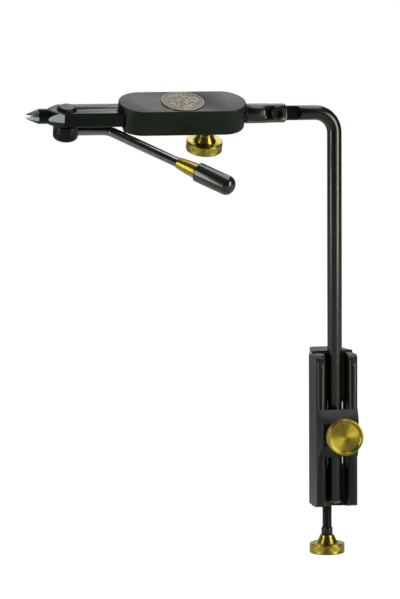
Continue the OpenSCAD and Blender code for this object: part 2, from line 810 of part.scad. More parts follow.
module jaw_keeper() {
    screw_hole_r = keeper_screw_d / 2 + fixed_gap;
    color("#333436") head_frame() difference() {
        translate([keeper_front_x, -keeper_half_w, -housing_bottom])
            cube([keeper_back_x - keeper_front_x - face_gap, 2 * keeper_half_w, keeper_t]);
        keeper_screw_places() translate([0, 0, -housing_bottom]) {
            translate([0, 0, -overrun]) cylinder(r = screw_hole_r, h = keeper_t + 2 * overrun);
            cylinder(r1 = screw_hole_r + keeper_screw_d / 2, r2 = screw_hole_r, h = keeper_screw_d / 2);
        }
    }
}

module keeper_screws() {
    head_h = keeper_screw_d / 2;
    color("#1b1b1c") head_frame() keeper_screw_places() translate([0, 0, -housing_bottom]) difference() {
        union() {
            cylinder(r = keeper_screw_d / 2, h = keeper_screw_l);
            cylinder(r1 = keeper_screw_d, r2 = keeper_screw_d / 2, h = head_h);
        }
        translate([0, 0, -overrun]) cylinder(d = keeper_screw_d * 3 / 4, h = head_h / 2 + overrun, $fn = 6);
    }
}

// Head lock

module head_lock_plug() {
    color("#e8e4d8") head_frame() translate([head_lock_x, 0, plug_top_z - lock_plug_t])
        cylinder(d = lock_plug_d, h = lock_plug_t);
}

module head_lock_stud() {
    start = knob_h - stud_depth + fixed_gap;
    end = head_stud_top_z + head_lock_drop;
    color("#1b1b1c") head_lock_frame() translate([0, 0, start]) cylinder(r = stud_r, h = end - start);
}

module head_lock_knob() {
    color("#b48a2c") head_lock_frame() knob_shape();
}

// Jaws

// The whole nose and bar, before it is split into two jaws
module jaw_blank() {
    tip_x = -jaw_tip_reach;
    neck_x = tip_x + point_l;
    taper_x = neck_x + neck_l;
    bar_x = taper_x + taper_l;
    back_x = jaw_back_x - face_gap;
    neck_r = neck_d / 2;
    half_w = jaw_w / 2;
    half_h = jaw_h / 2;
    corner_r = half_w + half_h / 2;
    intersection() {
        translate([tip_x, 0, 0]) rotate([0, 90, 0]) rotate_extrude() polygon([
            [0, 0],
            [tip_d / 2, 0],
            [neck_r, point_l],
            [neck_r, point_l + neck_l],
            [corner_r, point_l + neck_l + taper_l],
            [corner_r, back_x - tip_x],
            [0, back_x - tip_x]
        ]);
        translate([tip_x, 0, 0]) rotate([90, 0, 90]) linear_extrude(back_x - tip_x) polygon([
            [-half_w, -half_h + jaw_bevel],
            [-half_w + jaw_bevel, -half_h],
            [half_w - jaw_bevel, -half_h],
            [half_w, -half_h + jaw_bevel],
            [half_w, half_h - jaw_bevel],
            [half_w - jaw_bevel, half_h],
            [-half_w + jaw_bevel, half_h],
            [-half_w, half_h - jaw_bevel]
        ]);
        translate([0, 0, -half_h]) linear_extrude(jaw_h) polygon([
            [tip_x, -neck_r],
            [taper_x, -neck_r],
            [bar_x, -half_w],
            [back_x, -half_w],
            [back_x, half_w],
            [bar_x, half_w],
            [taper_x, neck_r],
            [tip_x, neck_r]
        ]);
    }
}

// What is cut away to leave the jaw on the +y side
module jaw_cut() {
    cut_l = jaw_tip_reach + overrun;
    cut_h = jaw_h + 2 * overrun;
    translate([-cut_l, -jaw_w, -cut_h / 2]) cube([cut_l, jaw_w + nose_gap / 2, cut_h]);
    translate([cam_x, -jaw_w, -cut_h / 2]) cube([-cam_x, jaw_w + slit_w / 2, cut_h]);
    translate([cam_x - pocket_half_l, -jaw_w, -cut_h / 2])
        cube([2 * pocket_half_l, jaw_w + pocket_half_w, cut_h]);
    translate([dowel_x, dowel_y, -cut_h / 2]) cylinder(r = dowel_r + run_gap, h = cut_h);
}

module near_jaw() {
    color("#3a3a3a") head_frame() difference() {
        jaw_blank();
        mirror([0, 1, 0]) jaw_cut();
    }
}

module far_jaw() {
    color("#3a3a3a") head_frame() difference() {
        jaw_blank();
        jaw_cut();
    }
}

// Cam and lever

module cam_pin() {
    shank_end_z = hub_bottom_z + hub_screw_head_h + face_gap;
    cam_h = bar_top_z - hub_top_z;
    button_r = button_d / 2;
    color("#303133") cam_frame() difference() {
        union() {
            translate([0, 0, bar_top_z]) rotate_extrude() polygon([
                [0, 0],
                [button_r, 0],
                [button_r, button_h / 4],
                [button_r - button_bevel, button_h],
                [0, button_h]
            ]);
            intersection() {
                translate([-cam_half_l, -cam_half_t, hub_top_z])
                    cube([2 * cam_half_l, 2 * cam_half_t, cam_h]);
                translate([0, 0, hub_top_z]) cylinder(r = cam_corner_r, h = cam_h);
            }
            translate([0, 0, shank_end_z]) cylinder(d = cam_shank_d, h = hub_top_z - shank_end_z);
        }
        translate([0, 0, shank_end_z - overrun])
            cylinder(r = hub_screw_d / 2 + fixed_gap, h = hub_screw_l + overrun);
    }
}

module hub_screw() {
    color("#1b1b1c") cam_frame() translate([0, 0, hub_bottom_z + fixed_gap]) difference() {
        union() {
            cylinder(d = hub_screw_head_d, h = hub_screw_head_h);
            cylinder(d = hub_screw_d, h = hub_screw_l);
        }
        translate([0, 0, -overrun])
            cylinder(d = hub_screw_head_d / 2, h = hub_screw_head_h * 2 / 3 + overrun, $fn = 6);
    }
}

module lever_hub() {
    hub_r = lever_hub_d / 2;
    color("#1f2021") cam_frame() difference() {
        translate([0, 0, hub_bottom_z]) rotate_extrude() polygon([
            [0, 0],
            [hub_r - lever_hub_bevel, 0],
            [hub_r, lever_hub_bevel],
            [hub_r, lever_hub_h - lever_hub_bevel / 2],
            [hub_r - lever_hub_bevel / 2, lever_hub_h],
            [0, lever_hub_h]
        ]);
        translate([0, 0, hub_bottom_z - overrun])
            cylinder(r = cam_shank_d / 2 + fixed_gap, h = lever_hub_h + 2 * overrun);
        translate([cam_shank_d / 2, 0, -rod_drop]) rotate([0, 90, 0])
            cylinder(r = rod_r + fixed_gap, h = hub_r);
    }
}

// The rod's straight legs are a hair thinner than its bend, which they enter
module lever_rod() {
    leg_r = rod_r - fixed_gap;
    start = cam_shank_d / 2 + 2 * face_gap;
    bend_x = rod_leg - rod_tangent;
    color("#55575a") union() {
        lever_frame() {
            translate([start, 0, 0]) rotate([0, 90, 0]) cylinder(r = leg_r, h = bend_x + face_gap - start);
            translate([bend_x, -rod_bend_r, 0]) rotate([0, 0, 90 - rod_bend_angle])
                rotate_extrude(angle = rod_bend_angle) translate([rod_bend_r, 0]) circle(rod_r);
        }
        leg_frame() translate([0, 0, rod_tangent - face_gap])
            cylinder(r = leg_r, h = rod_end - rod_tangent + face_gap);
    }
}

module lever_ferrule() {
    thin_r = ferrule_thin_d / 2;
    thick_r = ferrule_thick_d / 2;
    steps = 2 * edge_steps;
    swell = thick_r - thin_r;
    color("#b48a2c") leg_frame() difference() {
        rotate_extrude() polygon(concat(
            [[0, rod_run]],
            [for (i = [0:steps]) [thin_r + swell * sin(i * 90 / steps), rod_run + ferrule_l * i / steps]],
            [[core_r, ferrule_end], [core_r, core_end], [0, core_end]]
        ));
        translate([0, 0, rod_run - overrun])
            cylinder(r = rod_r + fixed_gap, h = rod_depth + overrun + fixed_gap);
    }
}

module lever_grip() {
    grip_r = grip_d / 2;
    dome_r = grip_r * 3 / 4;
    dome_z = grip_end - nib_h - dome_r;
    mouth_z = ferrule_end + fixed_gap;
    nib_r = nib_d / 2;
    color("#131313") leg_frame() difference() {
        rotate_extrude() polygon(concat(
            [[0, mouth_z], [grip_r - nib_h, mouth_z], [grip_r, mouth_z + nib_h]],
            [for (i = [0:edge_steps]) let (a = i * 90 / edge_steps)
                [grip_r - dome_r + dome_r * cos(a), dome_z + dome_r * sin(a)]],
            [[nib_r, grip_end - nib_h], [nib_r, grip_end - nib_h / 2], [nib_r / 2, grip_end], [0, grip_end]]
        ));
        translate([0, 0, ferrule_end - overrun])
            cylinder(r = core_r + fixed_gap, h = core_l + overrun + fixed_gap);
    }
}

clamp_body();
stem_lock_shoe();
stem_lock_stud();
stem_lock_knob();
table_pad();
table_screw();
table_screw_collar();
table_screw_knob();
stem_end_plug();
stem_rod();
head_shaft();
knuckle_screw();
thrust_washer();
housing();
medallion();
jaw_dowels();
jaw_keeper();
keeper_screws();
head_lock_plug();
head_lock_stud();
head_lock_knob();
cam_pin();
hub_screw();
lever_hub();
lever_rod();
lever_ferrule();
lever_grip();
near_jaw();
far_jaw();
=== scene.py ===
"""Looks of the fly tying vise: finishes for every piece, and fuller meshes where the turned, knurled,
threaded and ground parts need them. Lengths are metres in the frame's own axes: +Z up, the jaws
point to -X and the user sits at -Y."""
import json
import math

import bmesh
import bpy
from mathutils import Matrix, Vector

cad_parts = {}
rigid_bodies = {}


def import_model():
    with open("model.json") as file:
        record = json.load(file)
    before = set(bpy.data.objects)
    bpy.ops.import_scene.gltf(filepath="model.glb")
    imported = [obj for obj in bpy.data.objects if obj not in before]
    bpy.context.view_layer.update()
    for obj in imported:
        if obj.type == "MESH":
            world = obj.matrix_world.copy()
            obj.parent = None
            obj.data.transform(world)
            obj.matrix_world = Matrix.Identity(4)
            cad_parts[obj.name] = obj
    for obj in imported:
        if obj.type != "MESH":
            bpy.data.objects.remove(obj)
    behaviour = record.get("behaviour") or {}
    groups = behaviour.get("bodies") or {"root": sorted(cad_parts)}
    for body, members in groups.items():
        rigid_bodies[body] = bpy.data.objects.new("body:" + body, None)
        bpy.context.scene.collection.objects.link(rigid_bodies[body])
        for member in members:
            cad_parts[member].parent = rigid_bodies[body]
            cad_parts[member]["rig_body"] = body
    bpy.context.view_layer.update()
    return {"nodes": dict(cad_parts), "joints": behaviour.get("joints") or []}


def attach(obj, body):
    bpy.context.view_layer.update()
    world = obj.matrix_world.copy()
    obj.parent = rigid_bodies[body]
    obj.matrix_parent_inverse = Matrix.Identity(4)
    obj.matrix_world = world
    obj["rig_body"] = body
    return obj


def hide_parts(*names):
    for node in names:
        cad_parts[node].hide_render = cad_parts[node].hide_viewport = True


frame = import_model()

MM = 0.001
nodes = frame["nodes"]
joints = {joint["name"]: joint for joint in frame["joints"]}

# Places, read from the frame


def placed(origin, x, z):
    """The matrix of a local frame with that origin and those x and z axes."""
    x, z = x.normalized(), z.normalized()
    matrix = Matrix((x, z.cross(x), z)).transposed().to_4x4()
    matrix.translation = origin
    return matrix


def reach(node, origin, direction):
    """How far a CAD node's mesh reaches along a direction from a point, lowest and highest."""
    reaches = [(vertex.co - origin).dot(direction) for vertex in nodes[node].data.vertices]
    return min(reaches), max(reaches)


def seated(node, origin, x, z):
    """A local frame on the axis through origin, with z = 0 at the lowest end of the node."""
    z = z.normalized()
    return placed(origin + z * reach(node, origin, z)[0], x, z)


def middle(node):
    """The mean of a CAD node's vertices, which lies on the axis of a turned one."""
    vertices = nodes[node].data.vertices
    return sum((vertex.co for vertex in vertices), Vector()) / len(vertices)


X, Y, Z = Vector((1, 0, 0)), Vector((0, 1, 0)), Vector((0, 0, 1))
PIVOT = Vector(joints["head_tilt"]["pos_m"])
HEAD_UP = Vector(joints["lever_squeeze"]["axis"])
HEAD = placed(PIVOT, X, HEAD_UP)
CAM = placed(Vector(joints["lever_squeeze"]["pos_m"]), X, HEAD_UP)
STEM_LOCK = Vector(joints["stem_lock_turn"]["pos_m"])
HEAD_LOCK = Vector(joints["head_lock_turn"]["pos_m"])
SCREW_AXIS = Vector(joints["table_screw_turn"]["pos_m"])

# Camera

IMAGE_H = 599
AZIMUTH, ELEVATION, ROLL = math.radians(12.39), math.radians(5.85), math.radians(-0.40)
DISTANCE = 1.7347
TARGET = Vector((-0.08498, 0, 0.04209))
PIXELS_PER_METRE = 1540.4
SENSOR_H = 36


def add_camera():
    """The camera that was fitted to the photograph."""
    outward = Vector((
        -math.sin(AZIMUTH) * math.cos(ELEVATION),
        -math.cos(AZIMUTH) * math.cos(ELEVATION),
        math.sin(ELEVATION),
    ))
    right = Vector((math.cos(AZIMUTH), -math.sin(AZIMUTH), 0))
    up = outward.cross(right)
    turned_right = right * math.cos(ROLL) + up * math.sin(ROLL)
    data = bpy.data.cameras.new("camera")
    data.sensor_fit = "VERTICAL"
    data.sensor_height = SENSOR_H
    data.lens = PIXELS_PER_METRE * DISTANCE * SENSOR_H / IMAGE_H
    data.clip_end = 20
    camera = bpy.data.objects.new("camera", data)
    camera.matrix_world = placed(TARGET + outward * DISTANCE, turned_right, outward)
    bpy.context.scene.collection.objects.link(camera)
    bpy.context.scene.camera = camera


# Node helpers, for shader and geometry trees alike


class Wiring:
    """Adds nodes to one tree. A plain value given for a socket is set on it, and a socket is linked."""

    def __init__(self, tree):
        self.tree = tree

    def node(self, kind, settings=None, **inputs):
        made = self.tree.nodes.new(kind)
        for key, value in (settings or {}).items():
            setattr(made, key, value)
        for key, value in inputs.items():
            self.set(made.inputs[key.replace("_", " ")], value)
        return made

    def set(self, socket, value):
        if isinstance(value, bpy.types.NodeSocket):
            self.tree.links.new(value, socket)
        elif value is not None:
            socket.default_value = value

    def math(self, operation, *values, clamp=False):
        made = self.tree.nodes.new("ShaderNodeMath")
        made.operation = operation
        made.use_clamp = clamp
        for socket, value in zip(made.inputs, values):
            self.set(socket, value)
        return made.outputs[0]

    def remap(self, value, low, high, to_low=0.0, to_high=1.0, smooth=False):
        made = self.tree.nodes.new("ShaderNodeMapRange")
        made.interpolation_type = "SMOOTHSTEP" if smooth else "LINEAR"
        for socket, given in zip(made.inputs, (value, low, high, to_low, to_high)):
            self.set(socket, given)
        return made.outputs[0]

    def mix(self, factor, first, second):
        made = self.tree.nodes.new("ShaderNodeMix")
        made.data_type = "RGBA"
        for name, value in (("Factor_Float", factor), ("A_Color", first), ("B_Color", second)):
            socket = next(s for s in made.inputs if s.identifier == name)
            self.set(socket, value)
        return next(s for s in made.outputs if s.identifier == "Result_Color")

    def group(self, tree, **inputs):
        made = self.tree.nodes.new("ShaderNodeGroup")
        made.node_tree = tree
        for key, value in inputs.items():
            self.set(made.inputs[key.replace("_", " ")], value)
        return made.outputs


def new_group(name, kind, inputs, outputs):
    """A node group with named inputs, given as (name, type, value), and named outputs."""
    tree = bpy.data.node_groups.new(name, kind)
    for label, socket_type, value in inputs:
        socket = tree.interface.new_socket(label, in_out="INPUT", socket_type=socket_type)
        if value is not None:
            socket.default_value = value
    for label, socket_type in outputs:
        tree.interface.new_socket(label, in_out="OUTPUT", socket_type=socket_type)
    return tree, tree.nodes.new("NodeGroupInput").outputs, tree.nodes.new("NodeGroupOutput").inputs


FLOAT, SHAPE, MATERIAL = "NodeSocketFloat", "NodeSocketGeometry", "NodeSocketMaterial"

# Effects that several finishes share


def make_grain():
    """A fine even grain, such as that of powder coat or blasted metal, with slow patches over it."""
    tree, given, out = new_group(
        "Surface grain",
        "ShaderNodeTree",
        [("Grain size", FLOAT, 0.4 * MM), ("Patch size", FLOAT, 12 * MM), ("Patchiness", FLOAT, 0.5)],
        [("Grain", FLOAT), ("Patches", FLOAT)],
    )
    w = Wiring(tree)
    place = w.node("ShaderNodeTexCoord").outputs["Object"]
    grain = w.node("ShaderNodeTexNoise", Vector=place, Detail=2.0, Roughness=0.6)
    w.set(grain.inputs["Scale"], w.math("DIVIDE", 1.0, given["Grain size"]))
    patches = w.node("ShaderNodeTexNoise", Vector=place, Detail=4.0, Roughness=0.65)
    w.set(patches.inputs["Scale"], w.math("DIVIDE", 1.0, given["Patch size"]))
    spread = w.remap(patches.outputs["Fac"], 0.3, 0.7)
    w.set(out["Grain"], grain.outputs["Fac"])
    w.set(out["Patches"], w.math("MULTIPLY_ADD", w.math("SUBTRACT", spread, 0.5), given["Patchiness"], 0.5))
    return tree


def make_wear():
    """Where edges stand proud: one on a worn edge and zero on flat ground."""
    tree, given, out = new_group(
        "Worn edges",
        "ShaderNodeTree",
        [("Width", FLOAT, 0.4 * MM), ("Amount", FLOAT, 1.0), ("Break size", FLOAT, 1.5 * MM)],
        [("Wear", FLOAT)],
    )
    w = Wiring(tree)
    flat = w.node("ShaderNodeNewGeometry").outputs["Normal"]
    bevel = w.node("ShaderNodeBevel", {"samples": 6}, Radius=given["Width"]).outputs["Normal"]
    turn = w.node("ShaderNodeVectorMath", {"operation": "DOT_PRODUCT"})
    w.set(turn.inputs[0], flat)
    w.set(turn.inputs[1], bevel)
    edge = w.remap(turn.outputs["Value"], 0.995, 0.90)
    place = w.node("ShaderNodeTexCoord").outputs["Object"]
    breaks = w.node("ShaderNodeTexNoise", Vector=place, Detail=3.0)
    w.set(breaks.inputs["Scale"], w.math("DIVIDE", 1.0, given["Break size"]))
    broken = w.remap(breaks.outputs["Fac"], 0.38, 0.62)
    w.set(out["Wear"], w.math("MULTIPLY", w.math("MULTIPLY", edge, broken), given["Amount"], clamp=True))
    return tree


def make_turning():
    """Rings that a cutting tool leaves, along the profile's length, and slow streaks round the part. Both
    read the turned UV map."""
    tree, given, out = new_group(
        "Turning marks",
        "ShaderNodeTree",
        [("Ring width", FLOAT, 0.12 * MM), ("Unevenness", FLOAT, 0.6)],
        [("Rings", FLOAT), ("Streaks", FLOAT)],
    )
    w = Wiring(tree)
    uv = w.node("ShaderNodeUVMap", {"uv_map": TURNED_UV}).outputs["UV"]
    split = w.node("ShaderNodeSeparateXYZ", Vector=uv)
    rings = w.node("ShaderNodeTexNoise", {"noise_dimensions": "1D"}, Detail=3.0, Roughness=0.8)
    w.set(rings.inputs["W"], w.math("DIVIDE", split.outputs["X"], given["Ring width"]))
    rings.inputs["Scale"].default_value = 1.0
    turn = w.math("MULTIPLY", split.outputs["Y"], 2 * math.pi)
    round_part = w.node("ShaderNodeCombineXYZ", X=w.math("COSINE", turn), Y=w.math("SINE", turn))
    streaks = w.node("ShaderNodeTexNoise", Vector=round_part.outputs["Vector"], Scale=6.0, Detail=2.0)
    w.set(out["Rings"], w.remap(rings.outputs["Fac"], 0.25, 0.75))
    uneven = w.math("SUBTRACT", streaks.outputs["Fac"], 0.5)
    w.set(out["Streaks"], w.math("MULTIPLY_ADD", uneven, given["Unevenness"], 0.5))
    return tree


def make_brush():
    """Fine scratches along X, near the head's own length, as on ground or drawn steel."""
    tree, given, out = new_group(
        "Drawn scratches",
        "ShaderNodeTree",
        [("Scratch width", FLOAT, 0.08 * MM), ("Length share", FLOAT, 0.04)],
        [("Scratches", FLOAT)],
    )
    w = Wiring(tree)
    place = w.node("ShaderNodeTexCoord").outputs["Object"]
    squeeze = w.node("ShaderNodeCombineXYZ", X=given["Length share"], Y=1.0, Z=1.0)
    stretched = w.node("ShaderNodeVectorMath", {"operation": "MULTIPLY"})
    w.set(stretched.inputs[0], place)
    w.set(stretched.inputs[1], squeeze.outputs["Vector"])
    noise = w.node("ShaderNodeTexNoise", Vector=stretched.outputs["Vector"], Detail=3.0, Roughness=0.7)
    w.set(noise.inputs["Scale"], w.math("DIVIDE", 1.0, given["Scratch width"]))
    w.set(out["Scratches"], w.remap(noise.outputs["Fac"], 0.3, 0.7))
    return tree


TURNED_UV = "turned"
GRAIN = make_grain()
WEAR = make_wear()
TURNING = make_turning()
BRUSH = make_brush()

# Finishes


def start_finish(name, **constants):
    """A material, its wiring and its Principled shader's sockets, with plain values set on them."""
    material = bpy.data.materials.new(name)
    material.use_nodes = True
    shader = next(n for n in material.node_tree.nodes if n.type == "BSDF_PRINCIPLED")
    for key, value in constants.items():
        shader.inputs[key.replace("_", " ")].default_value = value
    return material, Wiring(material.node_tree), shader.inputs


def grey(level, warm=0.0):
    """A near neutral colour, warmer above zero and bluer below, as linear red, green, blue and alpha."""
    return (level * (1 + warm), level, level * (1 - warm), 1)


def oxide(level, green=0.0):
    """A near black with a green cast, which is painted reflection of the green room in front, as linear red,
    green, blue and alpha.
    """
    return (level * (1 - green), level * (1 + green), level * (1 - green * 0.8), 1)


def bump(w, height, distance, strength=1.0):
    """A normal for a height from 0 to 1 over that distance."""
    return w.node("ShaderNodeBump", Height=height, Distance=distance, Strength=strength).outputs["Normal"]


def coated(name, dark, light, roughness, grain, worn, wear, **constants):
    """A black coat or oxide: its ground is dark and light in patches, with a grain of a size and depth,
    and its edges show a share of the worn colour."""
    material, w, shader = start_finish(name, **constants)
    size, depth = grain
    marks = w.group(GRAIN, Grain_size=size, Patch_size=14 * MM, Patchiness=0.9)
    edges = w.group(WEAR, Amount=wear)["Wear"]
    ground = w.mix(marks["Patches"], dark, light)
    w.set(shader["Base Color"], w.mix(edges, ground, worn))
    w.set(shader["Roughness"], w.remap(marks["Patches"], 0.0, 1.0, *roughness))
    w.set(shader["Normal"], bump(w, marks["Grain"], depth))
    return material


def brassy(name, turned, roughness, **constants):
    """Lacquered brass. The turned kind has rings on its UV map and reflects in radial streaks."""
    material, w, shader = start_finish(name, Metallic=1.0, Coat_Weight=0.25, Coat_Roughness=0.12, **constants)
    grain = w.group(GRAIN, Grain_size=0.5 * MM, Patch_size=6 * MM, Patchiness=1.0)
    worn = w.group(WEAR, Width=0.3 * MM, Amount=0.5)["Wear"]
    ground = w.mix(grain["Patches"], BRASS_DEEP, BRASS)
    if turned:
        marks = w.group(TURNING, Ring_width=0.10 * MM, Unevenness=2.0)
        ground = w.mix(w.remap(marks["Streaks"], 0.1, 0.9), BRASS_DEEP, ground)
        w.set(shader["Base Color"], w.mix(worn, ground, BRASS_BRIGHT))
        w.set(shader["Roughness"], w.remap(marks["Rings"], 0.0, 1.0, *roughness))
        w.set(shader["Normal"], bump(w, marks["Rings"], 0.004 * MM))
        tangent = w.node("ShaderNodeTangent", {"direction_type": "UV_MAP", "uv_map": TURNED_UV})
        w.set(shader["Tangent"], tangent.outputs["Tangent"])
    else:
        w.set(shader["Base Color"], w.mix(worn, ground, BRASS_BRIGHT))
        w.set(shader["Roughness"], w.remap(grain["Patches"], 0.0, 1.0, *roughness))
        w.set(shader["Normal"], bump(w, grain["Grain"], 0.01 * MM))
    return material


def steel(name, dark, light, roughness, scratch):
    """Bare steel, or steel with a worn oxide, with fine scratches of a width and depth along the head."""
    material, w, shader = start_finish(name, Metallic=1.0)
    width, depth = scratch
    scratches = w.group(BRUSH, Scratch_width=width)["Scratches"]
    patches = w.group(GRAIN, Patch_size=5 * MM, Patchiness=1.0)["Patches"]
    w.set(shader["Base Color"], w.mix(patches, dark, light))
    w.set(shader["Roughness"], w.remap(scratches, 0.0, 1.0, *roughness))
    w.set(shader["Normal"], bump(w, scratches, depth))
    return material


def ground_point_shaded_below(name):
    """Ground steel, bright and metallic on the upper half of the jaws' sides, which falls off below to a dark
    colour that is painted shade, not oxide.
    The height is the one above the head's pivot, along the head's own upward axis."""
    material, w, shader = start_finish(name)
    place = w.node("ShaderNodeTexCoord").outputs["Object"]
    up = w.node("ShaderNodeVectorMath", {"operation": "DOT_PRODUCT"})
    w.set(up.inputs[0], place)
    up.inputs[1].default_value = HEAD_UP
    height = w.math("SUBTRACT", up.outputs["Value"], PIVOT.dot(HEAD_UP))
    # Below this band of heights the jaws turn dark: that dark lower part is painted shade, and only the upper
    # part is metallic ground steel
    bare_top_shaded_below = w.remap(height, GROUND_TO_SHADE_FADE[0], GROUND_TO_SHADE_FADE[1], smooth=True)
    scratches = w.group(BRUSH, Scratch_width=0.10 * MM)["Scratches"]
    w.set(shader["Base Color"], w.mix(bare_top_shaded_below, oxide(0.02), grey(0.86, -0.03)))
    w.set(shader["Metallic"], bare_top_shaded_below)
    w.set(shader["Roughness"], w.remap(scratches, 0.0, 1.0, 0.14, 0.24))
    w.set(shader["Normal"], bump(w, scratches, 0.005 * MM))
    return material


def aged_bronze(name):
    """Bronze with dark patina in its low places, rubbed pale on its high ones, and a golden outer edge."""
    material, w, shader = start_finish(name, Metallic=0.85)
    height = w.node("ShaderNodeAttribute", {"attribute_name": RELIEF}).outputs["Fac"]
    rim = w.math("GREATER_THAN", height, (1 + RIM_LEVEL) / 2)
    grain = w.group(GRAIN, Grain_size=0.25 * MM, Patch_size=2.2 * MM, Patchiness=1.2)
    rubbed = w.math("MULTIPLY_ADD", w.math("SUBTRACT", grain["Patches"], 0.5), 0.5, height, clamp=True)
    w.set(shader["Base Color"], w.mix(rim, w.mix(rubbed, BRONZE_DARK, BRONZE_RUBBED), BRONZE_RIM))
    w.set(shader["Roughness"], w.remap(rubbed, 0.0, 1.0, 0.55, 0.32))
    w.set(shader["Normal"], bump(w, grain["Grain"], 0.02 * MM))
    return material


def soft_plastic(name, colour, roughness, grain_depth, **constants):
    """Dipped vinyl or moulded nylon: even colour, slow patches in its gloss and a faint skin texture."""
    material, w, shader = start_finish(name, **constants)
    grain = w.group(GRAIN, Grain_size=0.9 * MM, Patch_size=9 * MM, Patchiness=1.0)
    darker = tuple(part * 0.8 for part in colour[:3]) + (1,)
    w.set(shader["Base Color"], w.mix(grain["Patches"], darker, colour))
    w.set(shader["Roughness"], w.remap(grain["Patches"], 0.0, 1.0, *roughness))
    w.set(shader["Normal"], bump(w, grain["Grain"], grain_depth))
    return material


# The relief attribute: 0 to 1 over the medallion's field, RIM_LEVEL at its edge, BARE_LEVEL elsewhere
RELIEF = "relief"
RIM_LEVEL = 2.0
BARE_LEVEL = 0.6
# Heights above the pivot over which the jaws' ground steel fades to the dark painted shade below
GROUND_TO_SHADE_FADE = (-1.6 * MM, -0.6 * MM)
BRASS = (0.75, 0.585, 0.12, 1)
BRASS_DEEP = (0.43, 0.31, 0.028, 1)
BRASS_BRIGHT = (0.85, 0.76, 0.40, 1)
BRONZE_DARK = (0.145, 0.125, 0.10, 1)
BRONZE_RUBBED = (0.205, 0.18, 0.145, 1)
BRONZE_RIM = (0.13, 0.095, 0.03, 1)

# The green share given to oxide() in these finishes is painted reflection of the green room in front
coat = coated(
    "clamp_coat",
    dark=oxide(0.010, 0.04),
    light=oxide(0.016, 0.04),
    roughness=(0.28, 0.38),
    grain=(0.5 * MM, 0.014 * MM),
    worn=grey(0.05),
    wear=0.25,
    IOR=1.45,
)
stem_black = coated(
    "stem_black_oxide",
    dark=oxide(0.003, 0.22),
    light=oxide(0.008, 0.22),
    roughness=(0.20, 0.28),
    grain=(0.35 * MM, 0.001 * MM),
    worn=grey(0.10, 0.05),
    wear=0.4,
    IOR=1.7,
)
anodised = coated(
    "anodised_black",
    dark=oxide(0.008, 0.25),
    light=oxide(0.013, 0.25),
    roughness=(0.36, 0.44),
    grain=(0.22 * MM, 0.008 * MM),
    worn=grey(0.12),
    wear=0.4,
    IOR=1.38,
)
screw_black = coated(
    "screw_black_oxide",
    dark=oxide(0.006, 0.15),
    light=oxide(0.014, 0.15),
    roughness=(0.26, 0.36),
    grain=(0.3 * MM, 0.003 * MM),
    worn=grey(0.10),
    wear=0.5,
)
jaw_black = coated(
    "jaw_black_oxide",
    dark=oxide(0.003, 0.25),
    light=oxide(0.008, 0.25),
    roughness=(0.18, 0.26),
    grain=(0.3 * MM, 0.001 * MM),
    worn=grey(0.20),
    wear=0.6,
    IOR=1.33,
)
ground_steel_shaded_below = ground_point_shaded_below("ground_steel_shaded_below")
rod_steel = steel(
    "rod_steel",
    dark=grey(0.22),
    light=grey(0.36, 0.02),
    roughness=(0.16, 0.26),
    scratch=(0.12 * MM, 0.002 * MM),
)
worn_oxide = steel(
    "worn_oxide",
    dark=grey(0.10, 0.2),
    light=grey(0.18, 0.3),
    roughness=(0.22, 0.34),
    scratch=(0.10 * MM, 0.004 * MM),
)
plain_steel = steel(
    "plain_steel",
    dark=grey(0.36, 0.04),
    light=grey(0.48, 0.03),
    roughness=(0.28, 0.42),
    scratch=(0.10 * MM, 0.004 * MM),
)
brass_turned = brassy("brass_turned", turned=True, roughness=(0.26, 0.42), Anisotropic=0.85)
brass_plain = brassy("brass_plain", turned=False, roughness=(0.20, 0.32))
bronze = aged_bronze("aged_bronze")
vinyl = soft_plastic(
    "black_vinyl",
    (0.014, 0.016, 0.017, 1),
    roughness=(0.12, 0.22),
    grain_depth=0.010 * MM,
    IOR=1.8,
)
nylon_white = soft_plastic(
    "white_nylon",
    (0.62, 0.60, 0.54, 1),
    roughness=(0.35, 0.5),
    grain_depth=0.01 * MM,
)
nylon_black = soft_plastic(
    "black_nylon",
    (0.012, 0.012, 0.012, 1),
    roughness=(0.35, 0.5),
    grain_depth=0.01 * MM,
)

FINISHES = {
    "clamp_body": coat,
    "stem_lock_shoe": brass_plain,
    "stem_lock_stud": screw_black,
    "stem_lock_knob": brass_plain,
    "table_pad": screw_black,
    "table_screw": screw_black,
    "table_screw_collar": screw_black,
    "table_screw_knob": brass_plain,
    "stem_end_plug": worn_oxide,
    "stem_rod": stem_black,
    "head_shaft": stem_black,
    "knuckle_screw": stem_black,
    "thrust_washer": nylon_black,
    "housing": anodised,
    "medallion": bronze,
    "jaw_dowels": plain_steel,
    "jaw_keeper": anodised,
    "keeper_screws": screw_black,
    "head_lock_plug": nylon_white,
    "head_lock_stud": screw_black,
    "head_lock_knob": brass_plain,
    "cam_pin": jaw_black,
    "hub_screw": screw_black,
    "lever_hub": jaw_black,
    "lever_rod": rod_steel,
    "lever_ferrule": brass_plain,
    "lever_grip": vinyl,
    "near_jaw": jaw_black,
    "far_jaw": jaw_black,
}

for node_name, finish in FINISHES.items():
    slots = nodes[node_name].data.materials
    for index in range(len(slots)):
        slots[index] = finish
    if not slots:
        slots.append(finish)

# Meshes: turned parts, the patterns cut in them, and dressed copies of the CAD parts

SEGMENTS = 96
FINE_SEGMENTS = 480

# Vertices within MERGE are joined, faces turned by less than FLAT_WITHIN become one, edges sharper than
# SHARP_ABOVE are rounded, and sizes within CLOSE of each other count as one
MERGE = 0.002 * MM
FLAT_WITHIN = math.radians(0.4)
SHARP_ABOVE = math.radians(32)
CLOSE = 0.05 * MM


